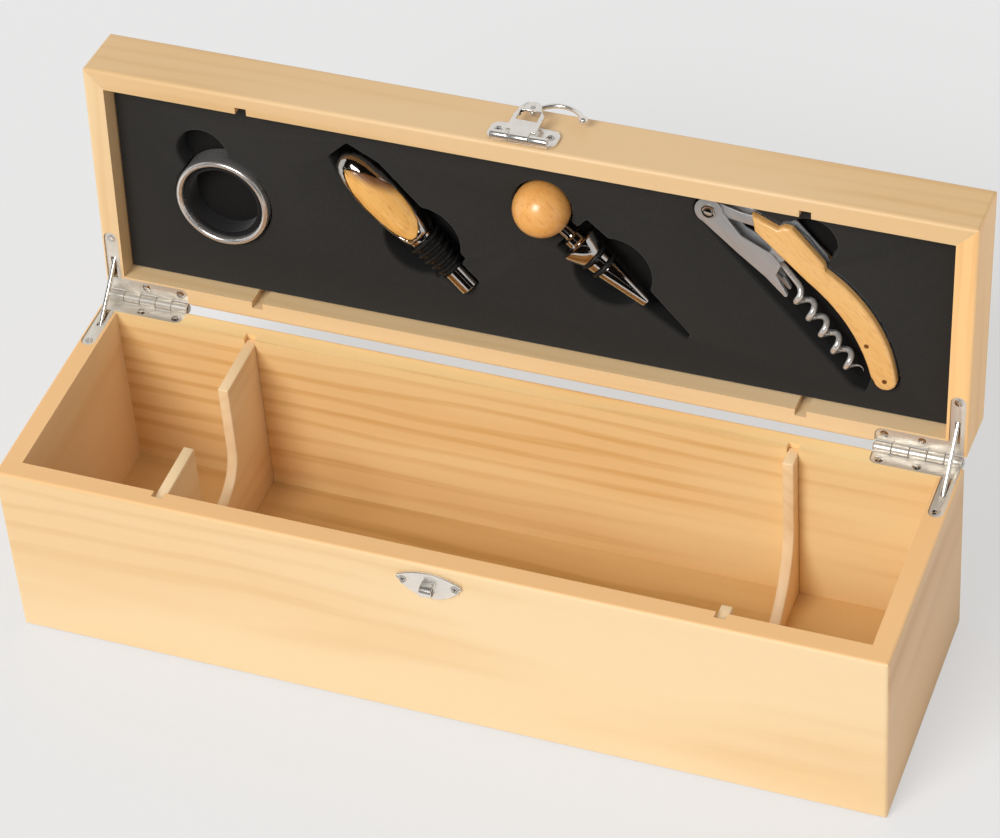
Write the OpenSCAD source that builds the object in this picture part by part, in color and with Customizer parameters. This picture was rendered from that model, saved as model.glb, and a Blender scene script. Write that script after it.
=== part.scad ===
// Wooden wine box for one bottle, with a set of four tools in its lid.
// Millimetres, +Z up. The origin is the middle of the underside, +X runs along the box to the
// right and +Y to the hinges. The lid, its fittings and the tools are drawn with the lid shut
// and then swung open.

/* [Box] */
// Length of the box
box_l = 360; // [350:1:400]
// Width of the box, front to back
box_w = 108; // [106:1:124]
// Height of the base
base_h = 85; // [83:1:100]
// Height of the lid
lid_h = 27; // [27:1:34]
// Thickness of the walls
wall_t = 8.5; // [8:0.5:10]
// Thickness of the floor panel
floor_t = 6; // [4:0.5:7]
// Thickness of the top panel
top_t = 7; // [5:0.5:7]
// Lap of the floor and top panels into the walls
panel_lap = 4; // [2:0.5:5]
// Rounding of the outer edges
edge_r = 1.5; // [0.5:0.25:2.5]
// Gap between the two rims when the lid is shut
rim_gap = 0.3; // [0.2:0.1:0.6]
// Angle at which the stays hold the lid open
lid_open = 95; // [80:1:96]

/* [Bottle and dividers] */
// Diameter of the bottle that the box holds
bottle_d = 75; // [70:1:76]
// Diameter of its neck
neck_d = 29; // [26:1:31]
// Space between the lying bottle and the floor panel
bottle_gap = 3.5; // [2:0.5:6]
// Width of the cut that carries the bottle
bottle_cut_w = 78; // [77:1:82]
// Width of the cut that carries the neck
neck_cut_w = 34; // [32:1:38]
// Thickness of a divider
divider_t = 4.5; // [3.5:0.5:6]
// Depth of the grooves that hold the dividers
groove_d = 3; // [2:0.5:4]
// Drop of the dividers' tops below the rim
divider_drop = 2.5; // [1:0.5:6]
// Place of the neck's divider along the box
neck_rest_x = -113; // [-120:1:-105]
// Place of the bottle's divider along the box
bottle_rest_x = 114; // [105:1:120]
// Clearance of a piece in its groove, bed or hole
fit = 0.1; // [0.05:0.05:0.2]

/* [Hinges and stays] */
// Thickness of a hinge leaf
leaf_t = 1.5; // [1:0.1:2]
// Width of the leaf on the side wall's rim
side_leaf_w = 6; // [5:0.5:6.5]
// Reach of that leaf from the hinge axis
side_leaf_l = 31; // [29:1:40]
// Length of the leaf on the back wall's rim
back_leaf_l = 35; // [32:1:50]
// Distance of the hinge axis behind the back wall
hinge_out = 1.5; // [1:0.1:2]
// Diameter of the hinge barrel
barrel_d = 4.6; // [4:0.2:5.4]
// Diameter of the hinge pin
pin_d = 2; // [1.6:0.1:2.4]
// Number of knuckles in a barrel
knuckle_n = 5; // [3:2:7]
// Gap between two knuckles
knuckle_gap = 0.2; // [0.1:0.05:0.4]
// Running clearance round a pin, on its radius
running = 0.05; // [0.03:0.01:0.08]
// Distance of a stay bar from the hinge axis
stay_reach = 10; // [9:0.5:11]
// Width of a stay bar
stay_w = 2.4; // [2:0.1:2.6]
// Thickness of a stay bar
stay_t = 1.4; // [1:0.1:1.8]
// Width of a stay bar's heads
stay_head_w = 3.8; // [3:0.2:4.2]
// Length of a stay bar's heads along the bar
stay_head_l = 1.5; // [1:0.1:2]

/* [Screws] */
// Diameter of a screw's shank
screw_d = 1.8; // [1.4:0.1:2]
// Diameter of a screw's head
screw_head_d = 3.6; // [3:0.1:4]
// Length of a hinge screw
screw_l = 8; // [6:0.5:10]
// Length of a latch screw
latch_screw_l = 7; // [5:0.5:8]

/* [Latch] */
// Place of the latch along the box
latch_x = 1; // [-6:0.5:6]
// Thickness of the latch plates
plate_t = 1.2; // [1:0.1:1.4]
// Length of the latch plate on the lid
latch_l = 28; // [27:1:34]
// Height of the latch plate on the lid
latch_h = 11.4; // [10.5:0.1:12]
// Length of the catch plate on the base
catch_l = 26.8; // [26:0.2:30]
// Diameter of the hasp's hinge barrel
hasp_barrel_d = 3.4; // [3:0.1:3.6]
// Diameter of the hasp's hinge pin
hasp_pin_d = 1.4; // [1:0.1:1.6]
// Distance of the hasp's axis from the wall
hasp_out = 3; // [2.9:0.1:3.4]
// Thickness of the hasp
hasp_t = 1; // [0.8:0.1:1.2]
// Width of the hasp
hasp_w = 12; // [11:0.5:14]
// Angle by which the hasp is folded back
hasp_fold = 175; // [170:1:176]
// Distance of the staple's eye below the hasp's axis
eye_drop = 11.9; // [11:0.1:13]
// Bore of the staple's eye
eye_d = 3; // [2.8:0.1:3.2]
// Width of the staple
staple_w = 5; // [4:0.5:5.5]
// Thickness of the metal round the eye
staple_wall = 1; // [0.8:0.1:1.2]
// Radius of the hook's tail round its pivot
tail_r = 5.4; // [5.2:0.1:6]
// Thickness of the hook's tail
tail_d = 1.6; // [1.2:0.1:1.6]
// Thickness of the hook's horn
horn_d = 2; // [1.6:0.1:2.2]
// Reach of the horn from its pivot
horn_l = 20; // [17:0.5:24]
// Diameter of the ball on the horn
horn_ball_d = 3.6; // [3:0.1:4]

/* [Tool board] */
// Depth of the tool board's face below the lid's rim
board_inset = 8; // [8:0.5:9]
// Clearance round the tool board
board_gap = 0.3; // [0.2:0.1:0.6]
// Clearance of a tool's pocket
pocket_gap = 0.8; // [0.6:0.1:1]
// Clearance under a tool in its pocket
seat_gap = 0.3; // [0.3:0.05:0.5]
// Radius of the large finger holes
finger_r = 16; // [14:0.5:17]
// Radius of the small finger holes
small_finger_r = 10.8; // [9:0.2:11]

/* [Drip ring] */
// Outer diameter
ring_d = 39.5; // [37:0.5:41]
// Width of the metal
ring_wall = 2.6; // [2:0.1:3]
// Height
ring_h = 10.5; // [9:0.5:11]
// Height above the board
ring_proud = 2.8; // [2:0.1:3.5]
// Thickness of the felt
felt_t = 2.4; // [1.5:0.1:2.6]

/* [Pourer] */
// Greatest diameter of the spout
spout_d = 18.6; // [17.6:0.2:18.8]
// Length of the spout
spout_l = 47; // [44:1:50]
// Diameter of the rubber stopper
plug_d = 15.2; // [14:0.2:15.4]
// Length of the rubber stopper
plug_l = 17; // [15:1:19]
// Diameter of the tube
tube_d = 9; // [8:0.2:9.4]
// Length of the bare end of the tube
tube_end = 10; // [8:1:12]
// Bore of the tube
tube_bore = 6.6; // [5:0.2:7]
// Height of the pourer's axis above the board
pourer_n = -1; // [-1.6:0.1:-0.6]

/* [Bottle stopper] */
// Diameter of the ball
ball_d = 23; // [21.5:0.5:24]
// Height of its axis above the board
stopper_n = 0.6; // [0.6:0.1:1]
// Greatest diameter of the collar
collar_d = 17.4; // [16:0.2:19]
// Diameter of the neck
stopper_neck_d = 5.2; // [4:0.2:6]
// Length from the ball's middle to the tip
stopper_l = 55; // [52:1:60]
// Thickness of the seals
seal_d = 1.8; // [1.4:0.1:2]

/* [Corkscrew] */
// Height of its middle plane above the board
corkscrew_n = -2.5; // [-3:0.1:-2]
// Gap between the frame's two plates
frame_gap = 3; // [2.8:0.1:3.4]
// Thickness of a frame plate
frame_t = 1; // [0.8:0.1:1.2]
// Thickness of a handle scale
scale_t = 3.3; // [2.5:0.1:3.4]
// Thickness of a lever cheek
cheek_t = 1; // [0.8:0.1:1.2]
// Thickness of the foil knife
knife_t = 1.2; // [1:0.1:1.4]
// Diameter of the handle's pins
handle_pin_d = 2; // [1.6:0.1:2.2]
// Diameter of the lever's pivot
lever_pin_d = 3; // [2.5:0.1:3.5]
// Thickness of the worm's wire
worm_d = 2.4; // [2:0.1:2.5]
// Outer diameter of the worm
worm_od = 7.6; // [7:0.2:8]
// Rise of the worm in one turn
worm_pitch = 8.4; // [7.8:0.1:8.6]
// Number of turns
worm_turns = 5; // [4:1:5]

/* [Hidden] */
$fn = 64;
eps = 0.01;
cut = 50;

wood = "#f2cf97";
wood_edge = "#e6bd80";
nickel = "#c9c8c4";
chrome = "#d8dadc";
brass = "#b5894a";
board_grey = "#35302f";
black = "#161514";
varnish = "#e09a48";

// Box
inner_l = box_l - 2 * wall_t;
inner_w = box_w - 2 * wall_t;
bottle_z = floor_t + bottle_gap + bottle_d / 2;
lid_z = base_h + rim_gap;
lid_top_z = lid_z + lid_h;
panel_l = inner_l + 2 * panel_lap;
panel_w = inner_w + 2 * panel_lap;
groove_w = divider_t + 2 * fit;
divider_top = base_h - divider_drop;

// Hinges
hinge_y = box_w / 2 + hinge_out;
hinge_z = base_h + rim_gap / 2;
leaf_under = rim_gap / 2 + leaf_t;
side_leaf_x = box_l / 2 - wall_t / 2;
barrel_end = side_leaf_x + side_leaf_w / 2;
barrel_start = barrel_end - back_leaf_l;
back_leaf_w = hinge_out + wall_t - 1;
leaf_corner = 3;
knuckle_l = back_leaf_l / knuckle_n;
barrel_clear = 0.4;
pin_head_d = pin_d + 1.4;
pin_head_l = 0.5;
hinge_screws = [
    [side_leaf_x, side_leaf_w / 2 - side_leaf_l],
    [barrel_start + leaf_corner + 0.5, leaf_corner - back_leaf_w],
    [barrel_start + back_leaf_l / 2 + 1, leaf_corner - back_leaf_w]
];
head_l = 0.9;

// Stays: each bar stays square to the bisector of the opening, at one distance from the axis
half_open = lid_open / 2;
stay_clear = 0.3;
stay_far = stay_reach + stay_w / 2;
stay_near = stay_reach - stay_w / 2;
stay_neck = (stay_far * sin(half_open) + leaf_under + stay_clear) / cos(half_open);
stay_half = stay_neck + stay_head_l;
slot_far = stay_far / cos(half_open) + leaf_under * tan(half_open) + stay_clear;
slot_near = stay_near - stay_clear;
mortise_far = stay_far * cos(half_open) + stay_half * sin(half_open) + 2 * stay_clear;
mortise_depth = stay_half + 2 * stay_clear;

// Latch, in a frame on the front wall: X right, Y up, Z out of the wall, Y = 0 at the hasp's axis
hasp_z = lid_z + hasp_barrel_d / 2 + 0.2;
hasp_in = plate_t + 0.2;
hasp_knuckle = 8;
horn_z = hasp_out + 0.6;
horn_pivot = eye_drop - 0.3 + tail_r;
boss_d = 4;
boss_l = 2.1;
horn_rivet_d = 1.6;
window_h = eye_d + 2 * staple_wall + 1;
window_w = staple_w + 3.4;
latch_screw_x = latch_l / 2 - 3.5;
catch_screw_x = catch_l / 2 - 2.8;
catch_screw_y = -10.6;

// Tool board, in a frame on its face: X right, Y up as seen in the open lid, Z out of the board
board_z = lid_z + board_inset;
board_t = lid_h - top_t - board_inset;
spread = inner_l / 343;
ring_at = [-127.5 * spread, -3.6];
ring_finger_at = ring_at + [-7.8, 21.1];
pourer_at = [-75.4 * spread, inner_w / 2 - 15.6];
pourer_turn = -46;
pourer_finger_at = pourer_at + [32.1, -35];
stopper_at = [7.4 * spread, 22];
stopper_turn = -40;
stopper_finger_at = stopper_at + [28.1, -25];
corkscrew_at = [75.3 * spread, inner_w / 2 - 7.9];
corkscrew_turn = -45;

// Pourer, along its axis from the lip
plug_u = spout_l + 0.1;
tube_u = spout_l - 5;
tube_tip = plug_u + plug_l + tube_end;
lip_drop = 3.6;
mouth_turn = 16;
inlay_rim = 0.8;

// Bottle stopper, along its axis from the ball's middle
collar_u = 19;
collar_l = 7.6;
seal_groove = 2;
ring2_l = 3.3;
taper_u = collar_u + collar_l + 2 * seal_groove + ring2_l;
seal_bed_r = 4.7;

// Corkscrew, in its middle plane: X from the lever's pivot to the handle's end, Y to its back
half_gap = frame_gap / 2;
half_frame = half_gap + frame_t;
half_scale = half_frame + scale_t;
outer_arc = [60, -42, 62.3];
inner_arc = [55, -60, 70];
handle_end = [95.7, 3.5];
handle_end_r = 4.6;
knife_pivot = [79.6, 9];
knife_turn = 170;
lever_pivot = [1, -2.2];
worm_pivot = [31, 3.6];
worm_turn = -8.4;
worm_start = [17.3, -1.9];
worm_eye_r = 2.6;
lever_hub_r = 5.6;
worm_r = (worm_od - worm_d) / 2;

// ---------- shared shapes ----------

module rounded_rect(l, w, r) {
    square([l - 2 * r, w], center = true);
    square([l, w - 2 * r], center = true);
    for (x = [-1, 1], y = [-1, 1])
        translate([x * (l / 2 - r), y * (w / 2 - r)]) circle(r);
}

// Block standing on Z = 0 with all its edges rounded
module rounded_block(l, w, h, r) {
    intersection() {
        linear_extrude(h) rounded_rect(l, w, r);
        translate([0, 0, h / 2]) rotate([90, 0, 90])
            linear_extrude(l, center = true) rounded_rect(w, h, r);
        translate([0, 0, h / 2]) rotate([90, 0, 0])
            linear_extrude(w, center = true) rounded_rect(l, h, r);
    }
}

module box_at(x, y, z) {
    translate([x[0], y[0], z[0]]) cube([x[1] - x[0], y[1] - y[0], z[1] - z[0]]);
}

// Round bar along X
module bar_x(x0, x1, d) {
    translate([x0, 0, 0]) rotate([0, 90, 0]) cylinder(d = d, h = x1 - x0);
}

// Screw with its flush head at Z = 0, pointing down; gap widens it into its hole
module screw(l, gap = 0) {
    head = screw_head_d / 2 + gap;
    shank = screw_d / 2 + gap;
    translate([0, 0, -head_l]) cylinder(r1 = shank, r2 = head, h = head_l);
    translate([0, 0, -l - gap]) cylinder(r = shank, h = l - head_l + gap + eps);
    if (gap > 0)
        cylinder(r = head, h = 1);
}

// ---------- box ----------

// Shuts out all but one wall, along the mitres; side counts quarter turns from the front
module mitred(side) {
    far = 200;
    edge_l = side % 2 == 0 ? box_l / 2 : box_w / 2;
    edge_w = side % 2 == 0 ? box_w / 2 : box_l / 2;
    deep = wall_t + 2;
    intersection() {
        children();
        rotate([0, 0, 90 * side]) translate([0, 0, -cut]) linear_extrude(2 * far)
            polygon([
                [-edge_l - 1, -edge_w - 1],
                [edge_l + 1, -edge_w - 1],
                [edge_l - deep, -edge_w + deep],
                [-edge_l + deep, -edge_w + deep]
            ]);
    }
}

module divider_grooves(z0, z1) {
    reach = inner_w / 2 + groove_d;
    for (x = [neck_rest_x, bottle_rest_x])
        box_at([x - groove_w / 2, x + groove_w / 2], [-reach, reach], [z0, z1]);
}

module base_shell() {
    difference() {
        rounded_block(box_l, box_w, base_h, edge_r);
        box_at([-inner_l / 2, inner_l / 2], [-inner_w / 2, inner_w / 2], [-1, base_h + 1]);
        box_at([-panel_l / 2, panel_l / 2], [-panel_w / 2, panel_w / 2], [-1, floor_t]);
        divider_grooves(floor_t - eps, base_h + 1);
        both_hinges() hinge_bed();
        on_front() catch_screw_set(fit);
    }
}

module lid_shell() {
    difference() {
        translate([0, 0, lid_z]) rounded_block(box_l, box_w, lid_h, edge_r);
        box_at([-inner_l / 2, inner_l / 2], [-inner_w / 2, inner_w / 2], [lid_z - 1, lid_top_z + 1]);
        box_at([-panel_l / 2, panel_l / 2], [-panel_w / 2, panel_w / 2],
               [lid_top_z - top_t, lid_top_z + 1]);
        divider_grooves(lid_z - 1, lid_top_z - top_t + eps);
        both_hinges() mirror([0, 0, 1]) hinge_bed();
        on_front() latch_screw_set(fit);
    }
}

// Swings what is drawn shut to the open pose
module opened(angle = lid_open) {
    translate([0, hinge_y, hinge_z]) rotate([-angle, 0, 0])
        translate([0, -hinge_y, -hinge_z]) children();
}

module base_front() { color(wood) mitred(0) base_shell(); }
module base_right() { color(wood) mitred(1) base_shell(); }
module base_back() { color(wood) mitred(2) base_shell(); }
module base_left() { color(wood) mitred(3) base_shell(); }
module lid_front() { color(wood) opened() mitred(0) lid_shell(); }
module lid_right() { color(wood) opened() mitred(1) lid_shell(); }
module lid_back() { color(wood) opened() mitred(2) lid_shell(); }
module lid_left() { color(wood) opened() mitred(3) lid_shell(); }

module base_floor() {
    color(wood_edge) box_at([-panel_l / 2, panel_l / 2], [-panel_w / 2, panel_w / 2], [0, floor_t]);
}

module lid_top() {
    color(wood_edge) opened()
        box_at([-panel_l / 2, panel_l / 2], [-panel_w / 2, panel_w / 2],
               [lid_top_z - top_t, lid_top_z]);
}

// Upright panel with a round-bottomed cut in which a round thing of diameter d lies
module divider(x, cut_w, d) {
    reach = inner_w / 2 + groove_d - fit;
    cut_z = bottle_z + (cut_w - d) / 2;
    translate([x, 0, 0]) rotate([90, 0, 90]) linear_extrude(divider_t, center = true)
        difference() {
            translate([-reach, floor_t]) square([2 * reach, divider_top - floor_t]);
            translate([0, cut_z]) circle(d = cut_w, $fn = 96);
            translate([-cut_w / 2, cut_z]) square([cut_w, cut]);
        }
}

module neck_rest() { color(wood_edge) divider(neck_rest_x, neck_cut_w, neck_d); }
module bottle_rest() { color(wood_edge) divider(bottle_rest_x, bottle_cut_w, bottle_d); }

// ---------- hinges ----------

// Frame on the hinge axis
module at_axis() {
    translate([0, hinge_y, hinge_z]) children();
}

module both_hinges() {
    at_axis() {
        children();
        mirror([1, 0, 0]) children();
    }
}

// L-shaped outline of the right hinge's leaf
module leaf_outline(gap = 0) {
    corner = leaf_corner - gap;
    translate([side_leaf_x - side_leaf_w / 2 - gap, side_leaf_w / 2 - side_leaf_l])
        square([side_leaf_w + 2 * gap, side_leaf_l - side_leaf_w / 2]);
    translate([side_leaf_x, side_leaf_w / 2 - side_leaf_l]) circle(d = side_leaf_w + 2 * gap);
    translate([barrel_start + leaf_corner, -back_leaf_w - gap])
        square([back_leaf_l - leaf_corner + gap, back_leaf_w + gap]);
    translate([barrel_start - gap, leaf_corner - back_leaf_w])
        square([leaf_corner + gap + eps, back_leaf_w - leaf_corner]);
    translate([barrel_start + leaf_corner, leaf_corner - back_leaf_w])
        circle(r = leaf_corner + gap);
}

// What the base's wood gives way to, for the right hinge
module hinge_bed() {
    translate([0, 0, -leaf_under]) linear_extrude(leaf_under + 1) {
        leaf_outline(fit);
        translate([barrel_start - fit, -eps]) square([back_leaf_l + 2 * fit, 5]);
    }
    bar_x(barrel_start - 2 * pin_head_l, box_l / 2 + 1, barrel_d + 2 * barrel_clear);
    box_at([side_leaf_x - stay_head_w / 2 - barrel_clear, side_leaf_x + stay_head_w / 2 + barrel_clear],
           [-mortise_far, -slot_near], [-mortise_depth, 0]);
    for (p = hinge_screws)
        translate([p[0], p[1], -rim_gap / 2]) screw(screw_l, fit);
}

// Leaf of the right hinge in the base's rim, with every second knuckle from the given one
module leaf(first) {
    difference() {
        union() {
            translate([0, 0, -leaf_under]) linear_extrude(leaf_t) leaf_outline();
            for (i = [first : 2 : knuckle_n - 1])
                bar_x(barrel_start + i * knuckle_l + knuckle_gap / 2,
                      barrel_start + (i + 1) * knuckle_l - knuckle_gap / 2, barrel_d);
        }
        for (i = [1 - first : 2 : knuckle_n - 1])
            bar_x(barrel_start + i * knuckle_l - knuckle_gap / 2 - (i == 0 ? 1 : 0),
                  barrel_start + (i + 1) * knuckle_l + knuckle_gap / 2
                  + (i == knuckle_n - 1 ? 1 : 0), barrel_d + 2 * barrel_clear);
        bar_x(barrel_start - 1, barrel_end + 1, pin_d + 2 * running);
        box_at([side_leaf_x - stay_t / 2 - stay_clear, side_leaf_x + stay_t / 2 + stay_clear],
               [-slot_far, -slot_near], [-leaf_under - 1, 1]);
        for (p = hinge_screws)
            translate([p[0], p[1], -rim_gap / 2]) screw(screw_l, fit);
    }
}

module base_leaf_right() { color(nickel) at_axis() leaf(0); }
module base_leaf_left() { color(nickel) mirror([1, 0, 0]) at_axis() leaf(0); }
module lid_leaf_right() { color(nickel) opened() at_axis() mirror([0, 0, 1]) leaf(1); }
module lid_leaf_left() {
    color(nickel) opened() mirror([1, 0, 0]) at_axis() mirror([0, 0, 1]) leaf(1);
}

// Pin with a flat head at each end of the barrel
module hinge_pin() {
    bar_x(barrel_start - pin_head_l, barrel_end + pin_head_l, pin_d);
    bar_x(barrel_start - pin_head_l, barrel_start, pin_head_d);
    bar_x(barrel_end, barrel_end + pin_head_l, pin_head_d);
}

module hinge_pin_right() { color(chrome) at_axis() hinge_pin(); }
module hinge_pin_left() { color(chrome) mirror([1, 0, 0]) at_axis() hinge_pin(); }

module hinge_screw_set() {
    both_hinges() for (p = hinge_screws)
        translate([p[0], p[1], -rim_gap / 2]) screw(screw_l);
}

module base_hinge_screws() { color(chrome) hinge_screw_set(); }
module lid_hinge_screws() {
    color(chrome) opened() translate([0, 0, 2 * hinge_z]) mirror([0, 0, 1]) hinge_screw_set();
}

// Stay bar through the slots of both side leaves
module stay() {
    translate([side_leaf_x, -stay_reach, 0]) {
        cube([stay_t, stay_w, 2 * stay_half], center = true);
        for (end = [-1, 1])
            translate([0, 0, end * (stay_half - stay_head_l / 2)])
                cube([stay_head_w, stay_w, stay_head_l], center = true);
    }
}

module stay_right() { color(nickel) opened(half_open) at_axis() stay(); }
module stay_left() { color(nickel) opened(half_open) mirror([1, 0, 0]) at_axis() stay(); }

// ---------- latch ----------

// Frame on the front wall at the height of the hasp's axis
module on_front() {
    translate([latch_x, -box_w / 2, hasp_z]) rotate([90, 0, 0]) children();
}

module catch_screw_set(gap = 0) {
    for (x = [-1, 1])
        translate([x * catch_screw_x, catch_screw_y, plate_t]) screw(latch_screw_l, gap);
}

module latch_screw_set(gap = 0) {
    for (x = [-1, 1])
        translate([x * latch_screw_x, latch_h / 2 + 0.3, plate_t]) screw(latch_screw_l, gap);
}

// Lens of two arcs through the ends of a chord
module lens(l, rise, drop) {
    up = (l * l / 4 + rise * rise) / (2 * rise);
    down = (l * l / 4 + drop * drop) / (2 * drop);
    intersection() {
        translate([0, rise - up]) circle(r = up, $fn = 96);
        translate([0, down - drop]) circle(r = down, $fn = 96);
        square([l - 0.8, 40], center = true);
    }
}

// Plate with a raised staple whose eye runs along X
module catch_plate() {
    eye_wall = eye_d / 2 + staple_wall;
    color(nickel) on_front() difference() {
        union() {
            translate([0, -9, 0]) linear_extrude(plate_t) lens(catch_l, 3.8, 9.4);
            translate([0, -eye_drop, horn_z]) rotate([90, 0, 90])
                linear_extrude(staple_w, center = true) {
                    circle(r = eye_wall);
                    translate([-eye_wall, -horn_z + plate_t / 2])
                        square([2 * eye_wall, horn_z - plate_t / 2]);
                }
        }
        translate([0, -eye_drop, horn_z]) bar_x(-staple_w, staple_w, eye_d);
        catch_screw_set(fit);
    }
}

module catch_screws() { color(chrome) on_front() catch_screw_set(); }

module hasp_bar(x0, x1, d) {
    translate([0, 0, hasp_out]) bar_x(x0, x1, d);
}

// Plate on the lid with the outer knuckles of the hasp's hinge
module latch_plate() {
    inner = hasp_knuckle / 2 + knuckle_gap;
    outer = latch_l / 2 - 2.5;
    color(nickel) opened() on_front() difference() {
        union() {
            translate([0, latch_h / 2 - 0.2, 0]) linear_extrude(plate_t)
                rounded_rect(latch_l, latch_h, 4);
            for (side = [-1, 1]) scale([side, 1, 1]) {
                hasp_bar(inner, outer, hasp_barrel_d);
                box_at([inner, outer], [-0.2, 1.1], [0, hasp_out]);
            }
        }
        hasp_bar(-latch_l, latch_l, hasp_pin_d + 2 * running);
        latch_screw_set(fit);
    }
}

module latch_screws() { color(chrome) opened() on_front() latch_screw_set(); }

module hasp_pin() {
    half = latch_l / 2 - 2.5;
    color(chrome) opened() on_front() hasp_bar(-half, half, hasp_pin_d);
}

// Turns what is drawn with the hasp hanging to the folded pose, on the open lid
module folded() {
    opened() on_front() translate([0, 0, hasp_out]) rotate([-hasp_fold, 0, 0])
        translate([0, 0, -hasp_out]) children();
}

module hasp() {
    color(chrome) folded() difference() {
        union() {
            translate([0, 0, hasp_in]) linear_extrude(hasp_t) {
                translate([-hasp_knuckle / 2, -4]) square([hasp_knuckle, 4]);
                polygon([
                    [-hasp_w / 2, -2.4], [hasp_w / 2, -2.4], [hasp_w / 2, -12.5],
                    [3.4, -horn_pivot], [-3.4, -horn_pivot], [-hasp_w / 2, -12.5]
                ]);
                translate([0, -horn_pivot]) circle(r = 3.4);
            }
            hasp_bar(-hasp_knuckle / 2, hasp_knuckle / 2, hasp_barrel_d);
        }
        hasp_bar(-hasp_w, hasp_w, hasp_pin_d + 2 * running);
        translate([0, -eye_drop, 0]) cube([window_w, window_h, 10], center = true);
        translate([0, -horn_pivot, 0]) cylinder(d = horn_rivet_d + 2 * running, h = 10);
    }
}

module horn_rivet() {
    top = hasp_in + hasp_t + 0.1 + boss_l;
    color(chrome) folded() translate([0, -horn_pivot, 0]) {
        translate([0, 0, hasp_in]) cylinder(d = horn_rivet_d, h = top + 0.5 - hasp_in);
        translate([0, 0, top + 0.05]) cylinder(d = 3, h = 0.5);
    }
}

// Hook on a pivot: a tail that turns into the staple's eye, and a curved horn with a ball
module horn_hook() {
    rise = 6;
    arc_r = (horn_l * horn_l / 4 + rise * rise) / (2 * rise);
    tail_from = 135;
    tail_arc = 100;
    color(chrome) folded() translate([0, -horn_pivot, 0]) difference() {
        union() {
            translate([0, 0, hasp_in + hasp_t + 0.1]) cylinder(d = boss_d, h = boss_l);
            translate([0, 0, horn_z]) {
                rotate([0, 0, tail_from]) rotate_extrude(angle = tail_arc)
                    translate([tail_r, 0]) circle(d = tail_d);
                rotate([0, 0, tail_from + tail_arc]) {
                    bar_x(boss_d / 2 - 0.5, tail_r, tail_d);
                    translate([tail_r, 0, 0]) sphere(d = tail_d + 0.3);
                }
                translate([horn_l / 2, arc_r - rise, 0])
                    rotate([0, 0, 270 - asin(horn_l / 2 / arc_r) + 8])
                        rotate_extrude(angle = 2 * asin(horn_l / 2 / arc_r) - 8)
                            translate([arc_r, 0]) circle(d = horn_d);
                translate([horn_l, 0, 0]) sphere(d = horn_ball_d);
            }
        }
        cylinder(d = horn_rivet_d + 2 * running, h = 10);
    }
}

// ---------- tool board ----------

// Frame on the board's face; the open lid shows it upright
module on_board(at = [0, 0], turn = 0, n = 0) {
    opened() translate([0, 0, board_z]) rotate([180, 0, 0])
        translate([at[0], at[1], n]) rotate([0, 0, turn]) children();
}

// Pocket of the given depth, with its outline as the child
module pocket(at, turn, depth) {
    translate([at[0], at[1], -depth]) rotate([0, 0, turn]) linear_extrude(depth + 1) children();
}

module pourer_pocket() {
    wide = spout_d / 2 + pocket_gap;
    mid = plug_d / 2 + pocket_gap;
    thin = tube_d / 2 + pocket_gap;
    polygon([
        [-2, -5.5], [12, -wide], [plug_u, -wide], [plug_u, -mid], [plug_u + plug_l, -mid],
        [plug_u + plug_l, -thin], [tube_tip + 1, -thin], [tube_tip + 1, thin],
        [plug_u + plug_l, thin], [plug_u + plug_l, mid], [plug_u, mid], [plug_u, wide],
        [12, wide], [-2, 5.5]
    ]);
}

module stopper_pocket() {
    collar = collar_d / 2 + 1.5 * pocket_gap;
    neck = stopper_neck_d / 2 + 2 * pocket_gap;
    taper = 7;
    polygon([
        [0, -neck], [collar_u - 4, -neck], [collar_u - 4, -collar],
        [collar_u + collar_l, -collar], [collar_u + collar_l, -taper],
        [taper_u, -taper], [stopper_l + 22, -1.4], [stopper_l + 22, 1.4],
        [taper_u, taper], [collar_u + collar_l, taper], [collar_u + collar_l, collar],
        [collar_u - 4, collar], [collar_u - 4, neck], [0, neck]
    ]);
}

// Outline of the corkscrew's handle, drawn in by the given amount
module handle_outline(inset = 0) {
    back = outer_arc[2] - inset;
    belly = inner_arc[2] + inset;
    polygon(concat(
        [
            [17, 8 + inset], [11 + inset, 12.3], [21.5, 16.3 - inset], [22 + inset, 19 - inset],
            [24.5, 21 - inset], [43, 20.4 - inset]
        ],
        [for (a = [103 : -3 : 55]) [outer_arc[0] + back * cos(a), outer_arc[1] + back * sin(a)]],
        [for (a = [45 : -15 : -120])
            handle_end + (handle_end_r - inset) * [cos(a), sin(a)]],
        [for (a = [59 : 3 : 98]) [inner_arc[0] + belly * cos(a), inner_arc[1] + belly * sin(a)]]
    ));
}

module corkscrew_pocket() {
    hub = lever_hub_r + pocket_gap;
    handle_outline(-pocket_gap);
    translate(lever_pivot) circle(r = hub);
    polygon([
        lever_pivot - [0, hub - 0.1], [46, -10.2], [92, -11.8], [97, -9],
        [88, 6], [60, 12], [30, 20], [8, 11.5], [-3, 5.6]
    ]);
}

module tool_board() {
    deep = spout_d / 2 - pourer_n + seat_gap;
    stopper_deep = collar_d / 2 - stopper_n + seat_gap;
    color(board_grey) on_board() difference() {
        translate([0, 0, -board_t / 2])
            cube([inner_l - 2 * board_gap, inner_w - 2 * board_gap, board_t], center = true);
        pocket(ring_at, 0, ring_h - ring_proud + seat_gap)
            circle(d = ring_d + 2 * pocket_gap);
        pocket(ring_finger_at, 0, 9) circle(r = small_finger_r);
        pocket(pourer_at, pourer_turn, deep) pourer_pocket();
        pocket(pourer_finger_at, 0, 9) circle(r = finger_r);
        pocket(stopper_at, 0, board_t + 1) circle(d = ball_d + 2 * pocket_gap);
        pocket(stopper_at, stopper_turn, stopper_deep) stopper_pocket();
        pocket(stopper_finger_at, 0, 9.6) circle(r = finger_r);
        pocket(corkscrew_at, corkscrew_turn, half_scale - corkscrew_n + seat_gap) {
            corkscrew_pocket();
            translate([33.7, 20.8]) circle(r = small_finger_r);
        }
    }
}

// ---------- drip ring ----------

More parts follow.
